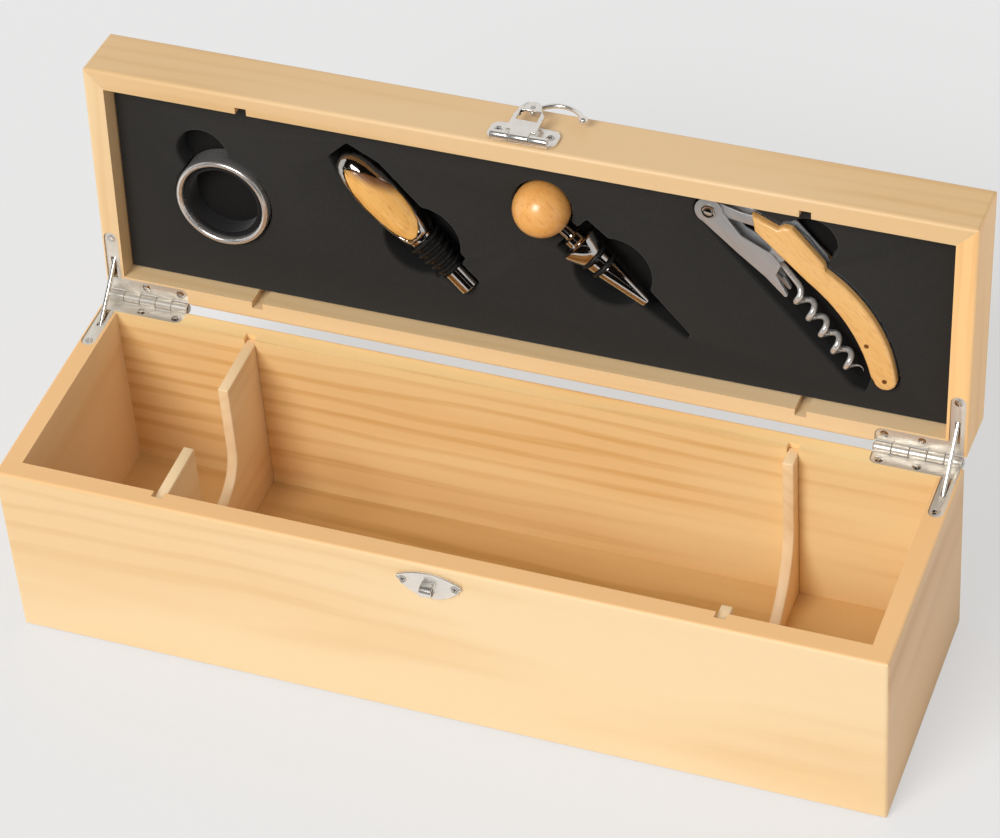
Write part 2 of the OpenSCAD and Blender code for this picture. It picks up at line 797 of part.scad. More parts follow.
module on_ring() {
    on_board(ring_at, 0, ring_proud - ring_h) children();
}

module drip_ring() {
    lip = ring_wall / 2;
    color(chrome) on_ring() rotate_extrude($fn = 96) {
        translate([ring_d / 2 - ring_wall, 0]) square([ring_wall, ring_h - lip]);
        translate([ring_d / 2 - lip, ring_h - lip]) circle(r = lip);
    }
}

module drip_ring_felt() {
    outer = ring_d / 2 - ring_wall - running;
    color(black) on_ring() rotate_extrude($fn = 96)
        translate([outer - felt_t, 0]) square([felt_t, ring_h - 2]);
}

// ---------- pourer ----------

module on_pourer() {
    on_board(pourer_at, pourer_turn, pourer_n) children();
}

// Solid of revolution along X of a profile whose points are [along, radius]
module turned(points) {
    rotate([90, 0, 90]) rotate_extrude()
        polygon([for (p = points) [p[1], p[0]]]);
}

module spout_form(inset = 0) {
    r = spout_d / 2 - inset;
    turned([
        [0, 0], [0, r - 4.4], [6, r - 1.8], [14, r - 0.2], [22, r], [32, r - 0.6],
        [42, r - 1.8], [spout_l, r - 2.6], [spout_l, 0]
    ]);
}

// All that lies above the slanted plane of the spout's mouth
module above_mouth() {
    translate([0, 0, -lip_drop]) rotate([0, -mouth_turn, 0])
        translate([-20, -20, 0]) cube([90, 40, 40]);
}

module pourer_spout() {
    color(chrome) on_pourer() difference() {
        spout_form();
        above_mouth();
        bar_x(-1, spout_l + 1, tube_bore);
        bar_x(tube_u, spout_l + 1, tube_d + 2 * fit);
    }
}

module pourer_inlay() {
    color(wood) on_pourer() difference() {
        intersection() {
            spout_form(inlay_rim);
            above_mouth();
            box_at([4, tube_u - 0.5], [-20, 20], [-20, 20]);
        }
        bar_x(-1, spout_l + 1, tube_bore);
    }
}

module pourer_plug() {
    r = plug_d / 2;
    fins = 4;
    pitch = plug_l / fins;
    color(black) on_pourer() difference() {
        turned(concat(
            [[plug_u, 0]],
            [for (i = [0 : fins - 1], k = [0, 1])
                [plug_u + (i + k * 0.7) * pitch, r - (k + i) * 0.35]],
            [[plug_u + plug_l, r - 2.2], [plug_u + plug_l, 0]]
        ));
        bar_x(plug_u - 1, plug_u + plug_l + 1, tube_d + 2 * fit);
    }
}

module pourer_tube() {
    color(chrome) on_pourer() difference() {
        bar_x(tube_u + 0.1, tube_tip, tube_d);
        bar_x(tube_u - 1, tube_tip + 1, tube_bore);
    }
}

// ---------- bottle stopper ----------

module on_stopper() {
    on_board(stopper_at, stopper_turn, stopper_n) children();
}

module stopper_ball() {
    color(varnish) on_stopper() difference() {
        rotate([0, 0, 150]) sphere(d = ball_d, $fn = 96);
        bar_x(ball_d / 4, ball_d, stopper_neck_d + 2 * fit);
    }
}

module stopper_stem() {
    neck = stopper_neck_d / 2;
    collar = collar_d / 2;
    u1 = collar_u + collar_l;
    u2 = u1 + seal_groove;
    u3 = u2 + ring2_l;
    color(chrome) on_stopper() turned([
        [ball_d / 4 + fit, 0], [ball_d / 4 + fit, neck], [collar_u - 3, neck],
        [collar_u - 3, 4.2], [collar_u, 4.2], [collar_u, collar], [u1, collar - 2.4],
        [u1, seal_bed_r], [u2, seal_bed_r], [u2, 5.8], [u3, 5.4], [u3, seal_bed_r],
        [taper_u, seal_bed_r], [taper_u, 5.2], [stopper_l - 0.6, 2.1], [stopper_l, 1.6],
        [stopper_l, 0]
    ]);
}

module stopper_seals() {
    u1 = collar_u + collar_l + seal_groove / 2;
    color(black) on_stopper() for (u = [u1, u1 + seal_groove + ring2_l])
        translate([u, 0, 0]) rotate([0, 90, 0]) rotate_extrude()
            translate([seal_bed_r + running + seal_d / 2, 0]) circle(d = seal_d);
}

// ---------- corkscrew ----------

module on_corkscrew(at = [0, 0]) {
    on_board(corkscrew_at, corkscrew_turn, corkscrew_n) translate(at) children();
}

module upright(d, half) {
    cylinder(d = d, h = 2 * half, center = true);
}

module pin_holes(gap, half = 20) {
    for (p = [knife_pivot, handle_end])
        translate(p) upright(handle_pin_d + 2 * gap, half);
}

// Two plates joined at the handle's end
module corkscrew_frame() {
    color(nickel) on_corkscrew() difference() {
        union() {
            linear_extrude(2 * half_frame, center = true) {
                handle_outline(0.4);
                polygon([
                    [-3.4, 0.6], [8.4, 7.2], [12.5, 10.5], [20, 15], [28, 15], [28, 12],
                    [19, 9.6], [7.6, 1.2], [5, -3]
                ]);
                polygon([[27.4, 12], [28.2, 0.6], [33.8, 0.6], [34.6, 12]]);
            }
            translate(lever_pivot) upright(2 * lever_hub_r - 0.6, half_frame);
        }
        box_at([-20, handle_end[0] - 8.5], [-20, 40], [-half_gap, half_gap]);
        pin_holes(running);
        translate(worm_pivot) upright(handle_pin_d + 2 * running, 20);
        translate(lever_pivot) upright(lever_pin_d + 2 * running, 20);
    }
}

module handle_scale(side) {
    on_corkscrew() difference() {
        translate([0, 0, side > 0 ? half_frame : -half_scale]) linear_extrude(scale_t)
            handle_outline();
        pin_holes(running);
    }
}

module front_scale() { color(wood) handle_scale(1); }
module back_scale() { color(wood) handle_scale(-1); }
module handle_pins() { color(brass) on_corkscrew() pin_holes(0, half_scale); }
module worm_pin() { color(nickel) on_corkscrew(worm_pivot) upright(handle_pin_d, half_frame); }

module lever_rivet() {
    half = half_frame + 0.1 + cheek_t;
    color(chrome) on_corkscrew(lever_pivot) {
        upright(lever_pin_d, half + 0.6);
        for (side = [-1, 1])
            translate([0, 0, side * (half + 0.35)]) upright(6, 0.3);
    }
}

// Channel of two cheeks over the frame, joined along its outer side, with a forked foot
module corkscrew_lever() {
    inside = half_frame + 0.1;
    color(nickel) on_corkscrew(lever_pivot) difference() {
        linear_extrude(2 * (inside + cheek_t), center = true) {
            circle(r = lever_hub_r);
            polygon([
                [-1, -5.5], [20, -3.8], [34, -2.2], [45.2, -2.2], [45.6, -1], [36, 1.9],
                [33.7, 6.9], [28, 7.2], [15, 2.8], [4, 4]
            ]);
        }
        box_at([-10, 8], [-10, 10], [-inside, inside]);
        box_at([7, 40], [-0.6, 10], [-inside, inside]);
        box_at([36, 50], [-10, 10], [-half_gap, half_gap]);
        upright(lever_pin_d + 2 * running, 20);
    }
}

module foil_knife() {
    color(nickel) on_corkscrew(knife_pivot) rotate([0, 0, knife_turn]) difference() {
        linear_extrude(knife_t, center = true) {
            circle(r = 3.4);
            polygon([
                [0, 3], [0, -3.4], [32, -3.4], [49, -3], [54, -0.4], [50, 2], [10, 2.4]
            ]);
        }
        upright(handle_pin_d + 2 * running, 5);
    }
}

// Points of one ring of the worm's wire, t turns from its start; the wire thins over the last turn
function worm_ring(t, sides) =
    let (
        a = 90 - 360 * t,
        radial = [0, sin(a), cos(a)],
        slope = worm_pitch / (2 * PI * worm_r),
        along = [slope, -cos(a), sin(a)] / norm([slope, 1]),
        across = cross(along, radial),
        left = worm_turns - t,
        r = worm_d / 2 * min(1, 0.25 + 0.75 * left),
        middle = [worm_start[0] + worm_pitch * t, worm_start[1], 0] + worm_r * radial
    )
    [for (i = [0 : sides - 1])
        let (b = 360 * i / sides) middle + r * (cos(b) * radial + sin(b) * across)];

// Closed tube through rings of points
module tube(rings) {
    sides = len(rings[0]);
    last = len(rings) - 1;
    points = [for (ring = rings, p = ring) p];
    walls = [for (j = [0 : last - 1], i = [0 : sides - 1])
        let (
            a = j * sides + i,
            b = j * sides + (i + 1) % sides,
            c = a + sides,
            d = b + sides
        )
        each [[a, d, b], [a, c, d]]];
    start = [for (i = [1 : sides - 2]) [0, i, i + 1]];
    end = [for (i = [1 : sides - 2]) [last * sides, last * sides + i + 1, last * sides + i]];
    polyhedron(points = points, faces = concat(walls, start, end));
}

// Eye, straight shank and open helix with a point
module corkscrew_worm() {
    per_turn = 12;
    sides = 8;
    from = [worm_start[0], worm_start[1] + worm_r, 0];
    run = norm(from);
    color(chrome) on_corkscrew(worm_pivot) rotate([0, 0, worm_turn]) {
        difference() {
            union() {
                upright(2 * worm_eye_r, half_gap - 0.15);
                rotate([0, 0, atan2(from[1], from[0])])
                    bar_x(worm_eye_r - 0.6, run + 0.3, worm_d);
            }
            upright(handle_pin_d + 2 * running, 5);
        }
        tube([for (i = [0 : per_turn * worm_turns]) worm_ring(i / per_turn, sides)]);
    }
}

base_front();
base_back();
base_left();
base_right();
base_floor();
neck_rest();
bottle_rest();
base_leaf_left();
base_leaf_right();
hinge_pin_left();
hinge_pin_right();
base_hinge_screws();
catch_plate();
catch_screws();
stay_left();
stay_right();
lid_front();
lid_back();
lid_left();
lid_right();
lid_top();
tool_board();
lid_leaf_left();
lid_leaf_right();
lid_hinge_screws();
latch_plate();
latch_screws();
hasp_pin();
hasp();
horn_rivet();
horn_hook();
drip_ring();
drip_ring_felt();
pourer_spout();
pourer_inlay();
pourer_plug();
pourer_tube();
stopper_ball();
stopper_stem();
stopper_seals();
corkscrew_frame();
front_scale();
back_scale();
handle_pins();
worm_pin();
lever_rivet();
corkscrew_lever();
corkscrew_worm();
foil_knife();
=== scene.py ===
"""Wooden wine box with its tools: camera, light, materials and the detailed pieces.

Small pieces are modelled in millimetres in the frame that the drawing gives them
(a hinge's axis, the latch's front, the tool board's face) and set in place from there.
"""

from math import cos, pi, radians, sin

import bpy
from mathutils import Matrix, Vector


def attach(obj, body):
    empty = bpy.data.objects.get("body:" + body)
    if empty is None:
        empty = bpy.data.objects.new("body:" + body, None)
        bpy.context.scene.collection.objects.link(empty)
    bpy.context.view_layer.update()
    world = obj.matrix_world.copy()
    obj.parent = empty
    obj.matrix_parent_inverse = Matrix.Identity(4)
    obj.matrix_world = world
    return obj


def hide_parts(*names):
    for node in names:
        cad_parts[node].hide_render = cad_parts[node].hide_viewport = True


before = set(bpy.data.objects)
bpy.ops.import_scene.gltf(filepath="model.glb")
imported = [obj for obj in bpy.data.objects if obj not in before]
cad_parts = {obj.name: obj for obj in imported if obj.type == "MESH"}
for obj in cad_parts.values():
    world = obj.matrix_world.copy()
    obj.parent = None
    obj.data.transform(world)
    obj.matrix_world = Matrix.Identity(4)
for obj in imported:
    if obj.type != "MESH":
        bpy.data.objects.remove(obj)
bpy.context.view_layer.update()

# ---------- places ----------

MM = 0.001
UNMOVED = Matrix.Identity(4)
MIRROR = Matrix.Scale(-1, 4, (1, 0, 0))


def moved(x, y, z):
    """Matrix of a move, in millimetres."""
    return Matrix.Translation((x, y, z))


def turned_by(angle, axis):
    """Matrix of a turn about an axis through the origin, in degrees."""
    return Matrix.Rotation(radians(angle), 4, axis)


# stands a piece that was turned round X on its end, so that its profile runs upwards
UPRIGHT = turned_by(-90, "Y")

# hinges: their axis, and the lid's turn about it as it stands open
LID_OPEN = 95
HINGE_Y = 55.5
HINGE_Z = 85.15
AXIS = moved(0, HINGE_Y, HINGE_Z)
OPEN = AXIS @ turned_by(-LID_OPEN, "X") @ AXIS.inverted()
LID_SIDE = OPEN @ AXIS @ Matrix.Scale(-1, 4, (0, 0, 1))

# latch: X along the front walls, Y up and Z out of them, from the hasp's hinge
LATCH_X = 1
FRONT_Y = -54
HASP_Z = 87.2
HASP_PIN = moved(0, 0, 3)
HASP_FOLD = 175
RIVET_DROP = 17
FRONT = moved(LATCH_X, FRONT_Y, HASP_Z) @ turned_by(90, "X")
LATCH = OPEN @ FRONT
FOLDED = LATCH @ HASP_PIN @ turned_by(-HASP_FOLD, "X") @ HASP_PIN.inverted()
HOOK = FOLDED @ moved(0, -RIVET_DROP, 0)

# tools: on the tool board's face, with Z out of it and X along each tool; the ring's X
# is its own axis, out of the board
BOARD_Z = 93.3
POURER_TURN = -46
POURER_ROLL = -13
STOPPER_TURN = -40
CORKSCREW_TURN = -45
WORM_TURN = -8.4
BOARD = OPEN @ moved(0, 0, BOARD_Z) @ turned_by(180, "X")
RING = BOARD @ moved(-127.5, -3.6, -7.7) @ UPRIGHT
POURER = BOARD @ moved(-75.4, 29.9, -1) @ turned_by(POURER_TURN, "Z")
ROLLED_POURER = POURER @ turned_by(POURER_ROLL, "X")
STOPPER = BOARD @ moved(7.4, 22, 0.6) @ turned_by(STOPPER_TURN, "Z")
CORKSCREW = BOARD @ moved(75.3, 37.6, -2.5) @ turned_by(CORKSCREW_TURN, "Z")
LEVER = CORKSCREW @ moved(1, -2.2, 0)
WORM = CORKSCREW @ moved(31, 3.6, 0) @ turned_by(WORM_TURN, "Z")

# ---------- materials ----------


def linear(code):
    """Linear colour of an sRGB hex code."""
    parts = [int(code[i:i + 2], 16) / 255 for i in (1, 3, 5)]
    return [p / 12.92 if p < 0.04045 else ((p + 0.055) / 1.055) ** 2.4 for p in parts] + [1]


def add_node(tree, kind, settings, inputs):
    """Adds a node with its settings, and the values or links of its inputs."""
    node = tree.nodes.new(kind)
    for name, value in settings.items():
        setattr(node, name, value)
    for name, value in inputs.items():
        if isinstance(value, bpy.types.NodeSocket):
            tree.links.new(value, node.inputs[name])
        else:
            node.inputs[name].default_value = value
    return node


def new_material(name, settings):
    """Material with its shader, which starts from the given values."""
    material = bpy.data.materials.new(name)
    material.use_nodes = True
    tree = material.node_tree
    tree.nodes.clear()
    shader = add_node(tree, "ShaderNodeBsdfPrincipled", {}, settings)
    add_node(tree, "ShaderNodeOutputMaterial", {}, {"Surface": shader.outputs["BSDF"]})
    return material, tree, shader


def mixed(tree, factor, low, high):
    """Colour that goes from low to high with the factor. A colour mix has its factor at
    input 0, its colours at 6 and 7, and its result at output 2."""
    blend = add_node(tree, "ShaderNodeMix", {"data_type": "RGBA"}, {0: factor, 6: low, 7: high})
    return blend.outputs[2]


def planed_pine(name, turn, place, pale, warm, streak, strength, rim=None):
    """Planed pine under a clear satin lacquer: soft honey streaks that wander along the
    board, over broad paler and warmer bands. Its three colours go from pale to streak."""
    material, tree, shader = new_material(name, {"Roughness": 0.42})
    where = add_node(tree, "ShaderNodeTexCoord", {}, {})
    board = add_node(tree, "ShaderNodeMapping", {}, {
        "Vector": where.outputs["Object"], "Rotation": [radians(a) for a in turn],
        "Location": place})
    along = add_node(tree, "ShaderNodeMapping", {}, {
        "Vector": board.outputs["Vector"], "Scale": (0.16, 1, 1)})
    # rings every 6.5 mm: the wave repeats every 0.314 units
    rings = add_node(tree, "ShaderNodeTexWave", {
        "wave_type": "RINGS", "rings_direction": "X"}, {
        "Vector": along.outputs["Vector"], "Scale": 0.314 / 0.0065, "Distortion": 5.0,
        "Detail": 2.0, "Detail Scale": 0.8, "Detail Roughness": 0.5})
    late = add_node(tree, "ShaderNodeMapRange", {"interpolation_type": "SMOOTHSTEP"}, {
        "Value": rings.outputs["Fac"], "From Min": 0.45, "From Max": 1.0})
    # bands about 40 mm wide and six times as long
    bands = add_node(tree, "ShaderNodeTexNoise", {}, {
        "Vector": along.outputs["Vector"], "Scale": 1 / 0.04, "Detail": 2.0})
    # fibres 1.2 mm wide and 50 mm long
    fibre_place = add_node(tree, "ShaderNodeMapping", {}, {
        "Vector": board.outputs["Vector"], "Scale": (20, 800, 800)})
    fibres = add_node(tree, "ShaderNodeTexNoise", {}, {
        "Vector": fibre_place.outputs["Vector"], "Scale": 1.0, "Detail": 3.0, "Roughness": 0.6})
    band_part = add_node(tree, "ShaderNodeMapRange", {"interpolation_type": "SMOOTHSTEP"}, {
        "Value": bands.outputs["Fac"], "From Min": 0.36, "From Max": 0.66})
    ground = mixed(tree, band_part.outputs["Result"], linear(pale), linear(warm))
    fibre_part = add_node(tree, "ShaderNodeMath", {"operation": "MULTIPLY"}, {
        0: late.outputs["Result"], 1: fibres.outputs["Fac"]})
    # streaks show in the warmer bands and fade out between them
    fade = add_node(tree, "ShaderNodeMath", {"operation": "MULTIPLY"}, {
        0: fibre_part.outputs["Value"], 1: band_part.outputs["Result"]})
    amount = add_node(tree, "ShaderNodeMath", {"operation": "MULTIPLY"}, {
        0: fade.outputs["Value"], 1: strength})
    finish = mixed(tree, amount.outputs["Value"], ground, linear(streak))
    if rim is not None:
        # painted light: the rim, which faces up to the lamp, gets a warmer colour
        facing = add_node(tree, "ShaderNodeSeparateXYZ", {}, {
            "Vector": where.outputs["Normal"]})
        up = add_node(tree, "ShaderNodeMapRange", {}, {
            "Value": facing.outputs["Z"], "From Min": 0.5, "From Max": 0.9})
        finish = mixed(tree, up.outputs["Result"], finish, linear(rim))
    tree.links.new(finish, shader.inputs["Base Color"])
    polish = add_node(tree, "ShaderNodeMapRange", {}, {
        "Value": fibres.outputs["Fac"], "To Min": 0.36, "To Max": 0.5})
    tree.links.new(polish.outputs["Result"], shader.inputs["Roughness"])
    grain = add_node(tree, "ShaderNodeBump", {}, {
        "Strength": 0.25, "Distance": 0.0001, "Height": fibres.outputs["Fac"]})
    tree.links.new(grain.outputs["Normal"], shader.inputs["Normal"])
    return material


# pale, warm and streak colour, and how strongly the streaks show
PINE = ("#EECFA1", "#E9C591", "#D6A869", 0.55)
PALE_PINE = ("#FADCAF", "#F4D1A1", "#E5B87E", 0.8)
HONEY_PINE = ("#E5C190", "#DFB881", "#CB9A5D", 0.6)
WARM_PINE = ("#FFD092", "#F9C685", "#E4AC69", 0.8)
BACK_PINE = ("#FFE0A4", "#F6CC8E", "#DFAC64", 1.1)
DEEP_PINE = ("#EBC393", "#E2B682", "#CC9D62", 0.8)
SHADED_PINE = ("#E4BA7C", "#D6A868", "#B98A45", 1.1)
# warmer colour that paints the light on the up-facing rims
RIM_LIGHT_TINT = "#F6C488"
# turn that lays the pattern along each board
LENGTHWAYS = (0, 0, 0)
CROSSWAYS = (0, 0, -90)
LID_LENGTHWAYS = (LID_OPEN, 0, 0)
LID_CROSSWAYS = (LID_OPEN, 0, -90)

pine_front = planed_pine(
    "pine_front", LENGTHWAYS, (0.3, 0.11, -0.02), *PINE, rim=RIM_LIGHT_TINT)
pine_back = planed_pine("pine_back", LENGTHWAYS, (0.9, -0.14, 0.05), *BACK_PINE)
pine_left = planed_pine(
    "pine_left", CROSSWAYS, (1.3, 0.1, -0.12), *PALE_PINE, rim=RIM_LIGHT_TINT)
pine_right = planed_pine(
    "pine_right", CROSSWAYS, (2.1, -0.08, 0.02), *DEEP_PINE, rim=RIM_LIGHT_TINT)
pine_floor = planed_pine("pine_floor", LENGTHWAYS, (3.3, 0.02, 0.09), *SHADED_PINE)
pine_dividers = planed_pine("pine_dividers", CROSSWAYS, (4.1, 0.0, 0.06), *PALE_PINE)
pine_lid_front = planed_pine("pine_lid_front", LID_LENGTHWAYS, (5.3, 0.07, 0.11), *HONEY_PINE)
pine_lid_back = planed_pine("pine_lid_back", LID_LENGTHWAYS, (6.2, -0.02, 0.13), *PINE)
pine_lid_left = planed_pine("pine_lid_left", LID_CROSSWAYS, (7.4, 0.12, 0.06), *PINE)
pine_lid_right = planed_pine("pine_lid_right", LID_CROSSWAYS, (8.1, -0.09, 0.1), *WARM_PINE)
pine_lid_top = planed_pine("pine_lid_top", LID_LENGTHWAYS, (9.2, 0.03, -0.06), *PINE)


def flocked_foam():
    """Stiff foam with a charcoal flock: matt, with a faint speckle and a soft bloom."""
    material, tree, shader = new_material("flocked_foam", {
        "Roughness": 0.95, "Specular IOR Level": 0.2, "Sheen Weight": 0.15,
        "Sheen Roughness": 0.5})
    where = add_node(tree, "ShaderNodeTexCoord", {}, {})
    # tufts of flock about 0.6 mm across
    tufts = add_node(tree, "ShaderNodeTexNoise", {}, {
        "Vector": where.outputs["Object"], "Scale": 1 / 0.0006, "Detail": 2.0})
    # faint cloudiness 30 mm across
    cloud = add_node(tree, "ShaderNodeTexNoise", {}, {
        "Vector": where.outputs["Object"], "Scale": 1 / 0.03, "Detail": 2.0})
    speckle = mixed(tree, tufts.outputs["Fac"], linear("#22211F"), linear("#302E2C"))
    flock = mixed(tree, cloud.outputs["Fac"], speckle, linear("#292826"))
    # painted shade in the pockets: the flock darkens to near black between 0.6 and 2.5 mm below
    # the face
    face = BOARD.to_translation() * MM
    out = BOARD.to_3x3() @ Vector((0, 0, 1))
    place = add_node(tree, "ShaderNodeVectorMath", {"operation": "SUBTRACT"}, {
        0: where.outputs["Object"], 1: face})
    height = add_node(tree, "ShaderNodeVectorMath", {"operation": "DOT_PRODUCT"}, {
        0: place.outputs["Vector"], 1: out})
    skin = add_node(tree, "ShaderNodeMapRange", {"interpolation_type": "SMOOTHSTEP"}, {
        "Value": height.outputs["Value"], "From Min": -2.5 * MM, "From Max": -0.6 * MM})
    tree.links.new(mixed(tree, skin.outputs["Result"], linear("#131110"), flock),
                   shader.inputs["Base Color"])
    nap = add_node(tree, "ShaderNodeBump", {}, {
        "Strength": 0.3, "Distance": 0.0003, "Height": tufts.outputs["Fac"]})
    tree.links.new(nap.outputs["Normal"], shader.inputs["Normal"])
    return material


def worn_metal(name, colour, worn, roughness, spread, metallic=1.0):
    """Smooth metal that handling has dulled in faint cloudy patches about 4 mm across.
    A metallic share below 1 adds the light that fine scratches scatter."""
    material, tree, shader = new_material(name, {"Metallic": metallic, "Roughness": roughness})
    where = add_node(tree, "ShaderNodeTexCoord", {}, {})
    patches = add_node(tree, "ShaderNodeTexNoise", {}, {
        "Vector": where.outputs["Object"], "Scale": 1 / 0.004, "Detail": 3.0})
    tree.links.new(mixed(tree, patches.outputs["Fac"], linear(colour), linear(worn)),
                   shader.inputs["Base Color"])
    shine = add_node(tree, "ShaderNodeMapRange", {}, {
        "Value": patches.outputs["Fac"], "From Min": 0.3, "From Max": 0.7,
        "To Min": roughness - spread, "To Max": roughness + spread})
    tree.links.new(shine.outputs["Result"], shader.inputs["Roughness"])
    return material


# plating of the hinges: pale, a little warm, with blurred mirrors
nickel = worn_metal("nickel_plated_steel", "#EDE8DE", "#DDD5C8", 0.34, 0.06, 0.6)
# plating of the latch and the stays: whiter and clearer
latch_nickel = worn_metal("polished_nickel", "#F0ECE6", "#E2DCD4", 0.2, 0.05, 0.8)
# chrome on brass: a dark, clear mirror with bright streaks
chrome = worn_metal("chrome_plating", "#C8C4C0", "#BBB6B1", 0.08, 0.02)
# coiled steel wire: soft white streaks along each turn
wire_steel = worn_metal("turned_steel", "#EEEDEA", "#E0DEDA", 0.3, 0.05, 0.7)
# chrome on spun steel: a soft pale band round the rim
satin_chrome = worn_metal("satin_chrome", "#F0EEEB", "#E2DFDB", 0.3, 0.05, 0.88)
# sawn brass: brown spots that hardly shine
brass = worn_metal("dull_brass", "#D19C62", "#BC854A", 0.65, 0.06)


def brushed_steel():
    """Stainless steel with a satin brush: pale grey, with fine strokes along the handle."""
    material, tree, shader = new_material("brushed_steel", {"Metallic": 0.7})
    where = add_node(tree, "ShaderNodeTexCoord", {}, {})
    level = add_node(tree, "ShaderNodeMapping", {}, {
        "Vector": where.outputs["Object"], "Rotation": (radians(LID_OPEN), 0, 0)})
    along = add_node(tree, "ShaderNodeMapping", {}, {
        "Vector": level.outputs["Vector"], "Rotation": (0, 0, radians(CORKSCREW_TURN))})
    # strokes 0.5 mm wide and 12 mm long
    thin = add_node(tree, "ShaderNodeMapping", {}, {
        "Vector": along.outputs["Vector"], "Scale": (80, 2000, 2000)})
    strokes = add_node(tree, "ShaderNodeTexNoise", {}, {
        "Vector": thin.outputs["Vector"], "Scale": 1.0, "Detail": 2.0})
    tree.links.new(mixed(tree, strokes.outputs["Fac"], linear("#BFC2C4"), linear("#DADCDD")),
                   shader.inputs["Base Color"])
    shine = add_node(tree, "ShaderNodeMapRange", {}, {
        "Value": strokes.outputs["Fac"], "To Min": 0.38, "To Max": 0.52})
    tree.links.new(shine.outputs["Result"], shader.inputs["Roughness"])
    return material


def varnished_beech(name, pale, warm, streak, turn, place, painted_edge_shade=None):
    """Beech stained honey orange under a thick gloss varnish: short fine flecks that
    the turn lays along the tool."""
    material, tree, shader = new_material(name, {
        "Roughness": 0.4, "Coat Weight": 0.8, "Coat Roughness": 0.16})
    where = add_node(tree, "ShaderNodeTexCoord", {}, {})
    piece = add_node(tree, "ShaderNodeMapping", {}, {
        "Vector": where.outputs["Object"], "Rotation": [radians(a) for a in turn],
        "Location": place})
    along = add_node(tree, "ShaderNodeMapping", {}, {
        "Vector": piece.outputs["Vector"], "Scale": (0.15, 1, 1)})
    # figure 4 mm wide, flecks 0.8 mm wide and 5 mm long
    figure = add_node(tree, "ShaderNodeTexNoise", {}, {
        "Vector": along.outputs["Vector"], "Scale": 1 / 0.004, "Detail": 3.0})
    flecks = add_node(tree, "ShaderNodeTexNoise", {}, {
        "Vector": along.outputs["Vector"], "Scale": 1 / 0.0008, "Detail": 1.0})
    ground = mixed(tree, figure.outputs["Fac"], linear(pale), linear(warm))
    fleck = add_node(tree, "ShaderNodeMapRange", {}, {
        "Value": flecks.outputs["Fac"], "From Min": 0.5, "From Max": 0.8, "To Max": 0.5})
    finish = mixed(tree, fleck.outputs["Result"], ground, linear(streak))
    if painted_edge_shade is not None:
        # painted shade along the upper edge: the wood darkens across the tool at an angle, from
        # start to end in millimetres
        tool, angle, start, end = painted_edge_shade
        across = tool.to_3x3() @ Vector((-sin(radians(angle)), cos(radians(angle)), 0))
        off = add_node(tree, "ShaderNodeVectorMath", {"operation": "SUBTRACT"}, {
            0: where.outputs["Object"], 1: tool.to_translation() * MM})
        reach = add_node(tree, "ShaderNodeVectorMath", {"operation": "DOT_PRODUCT"}, {
            0: off.outputs["Vector"], 1: across})
        dark = add_node(tree, "ShaderNodeMapRange", {"interpolation_type": "SMOOTHSTEP"}, {
            "Value": reach.outputs["Value"], "From Min": start * MM, "From Max": end * MM,
            "To Max": 0.92})
        finish = mixed(tree, dark.outputs["Result"], finish, linear("#5A2A0E"))
    tree.links.new(finish, shader.inputs["Base Color"])
    return material


beech_scales = varnished_beech(
    "varnished_beech_scales", "#F2C27C", "#E8B068", "#C98A45",
    (LID_OPEN, 0, CORKSCREW_TURN), (0.2, 0.1, 0.3))
# the inlay's upper edge gets a painted shade
beech_inlay = varnished_beech(
    "varnished_beech_inlay", "#F4BE6A", "#E6A751", "#BF7A34",
    (LID_OPEN, 0, POURER_TURN), (0.5, 0.3, 0.1), painted_edge_shade=(POURER, 21, -2.6, 0.9))
beech_ball = varnished_beech(
    "varnished_beech_ball", "#F4BB6C", "#E79C4A", "#C97F3A",
    (LID_OPEN, 0, STOPPER_TURN), (0.7, 0.6, 0.2))


def moulded_rubber():
    """Moulded black rubber: a satin skin with a faint mould grain."""
    material, tree, shader = new_material("moulded_rubber", {
        "Roughness": 0.45, "Specular IOR Level": 0.4})
    where = add_node(tree, "ShaderNodeTexCoord", {}, {})
    # mould grain 0.4 mm across
    skin = add_node(tree, "ShaderNodeTexNoise", {}, {
        "Vector": where.outputs["Object"], "Scale": 1 / 0.0004, "Detail": 2.0})
    tree.links.new(mixed(tree, skin.outputs["Fac"], linear("#0D0C0C"), linear("#171615")),
                   shader.inputs["Base Color"])
    grain = add_node(tree, "ShaderNodeBump", {}, {
        "Strength": 0.15, "Distance": 0.0001, "Height": skin.outputs["Fac"]})
    tree.links.new(grain.outputs["Normal"], shader.inputs["Normal"])
    return material


def pressed_felt():
    """Black pressed wool felt: matt, with tangled fibres."""
    material, tree, shader = new_material("pressed_felt", {
        "Roughness": 1.0, "Specular IOR Level": 0.1, "Sheen Weight": 0.2})
    where = add_node(tree, "ShaderNodeTexCoord", {}, {})
    # tangles 0.7 mm across
    tangle = add_node(tree, "ShaderNodeTexVoronoi", {}, {
        "Vector": where.outputs["Object"], "Scale": 1 / 0.0007})
    tree.links.new(mixed(tree, tangle.outputs["Distance"], linear("#0B0A0A"), linear("#161414")),
                   shader.inputs["Base Color"])
    nap = add_node(tree, "ShaderNodeBump", {}, {
        "Strength": 0.4, "Distance": 0.0003, "Height": tangle.outputs["Distance"]})
    tree.links.new(nap.outputs["Normal"], shader.inputs["Normal"])
    return material


foam = flocked_foam()
steel = brushed_steel()
rubber = moulded_rubber()
felt = pressed_felt()

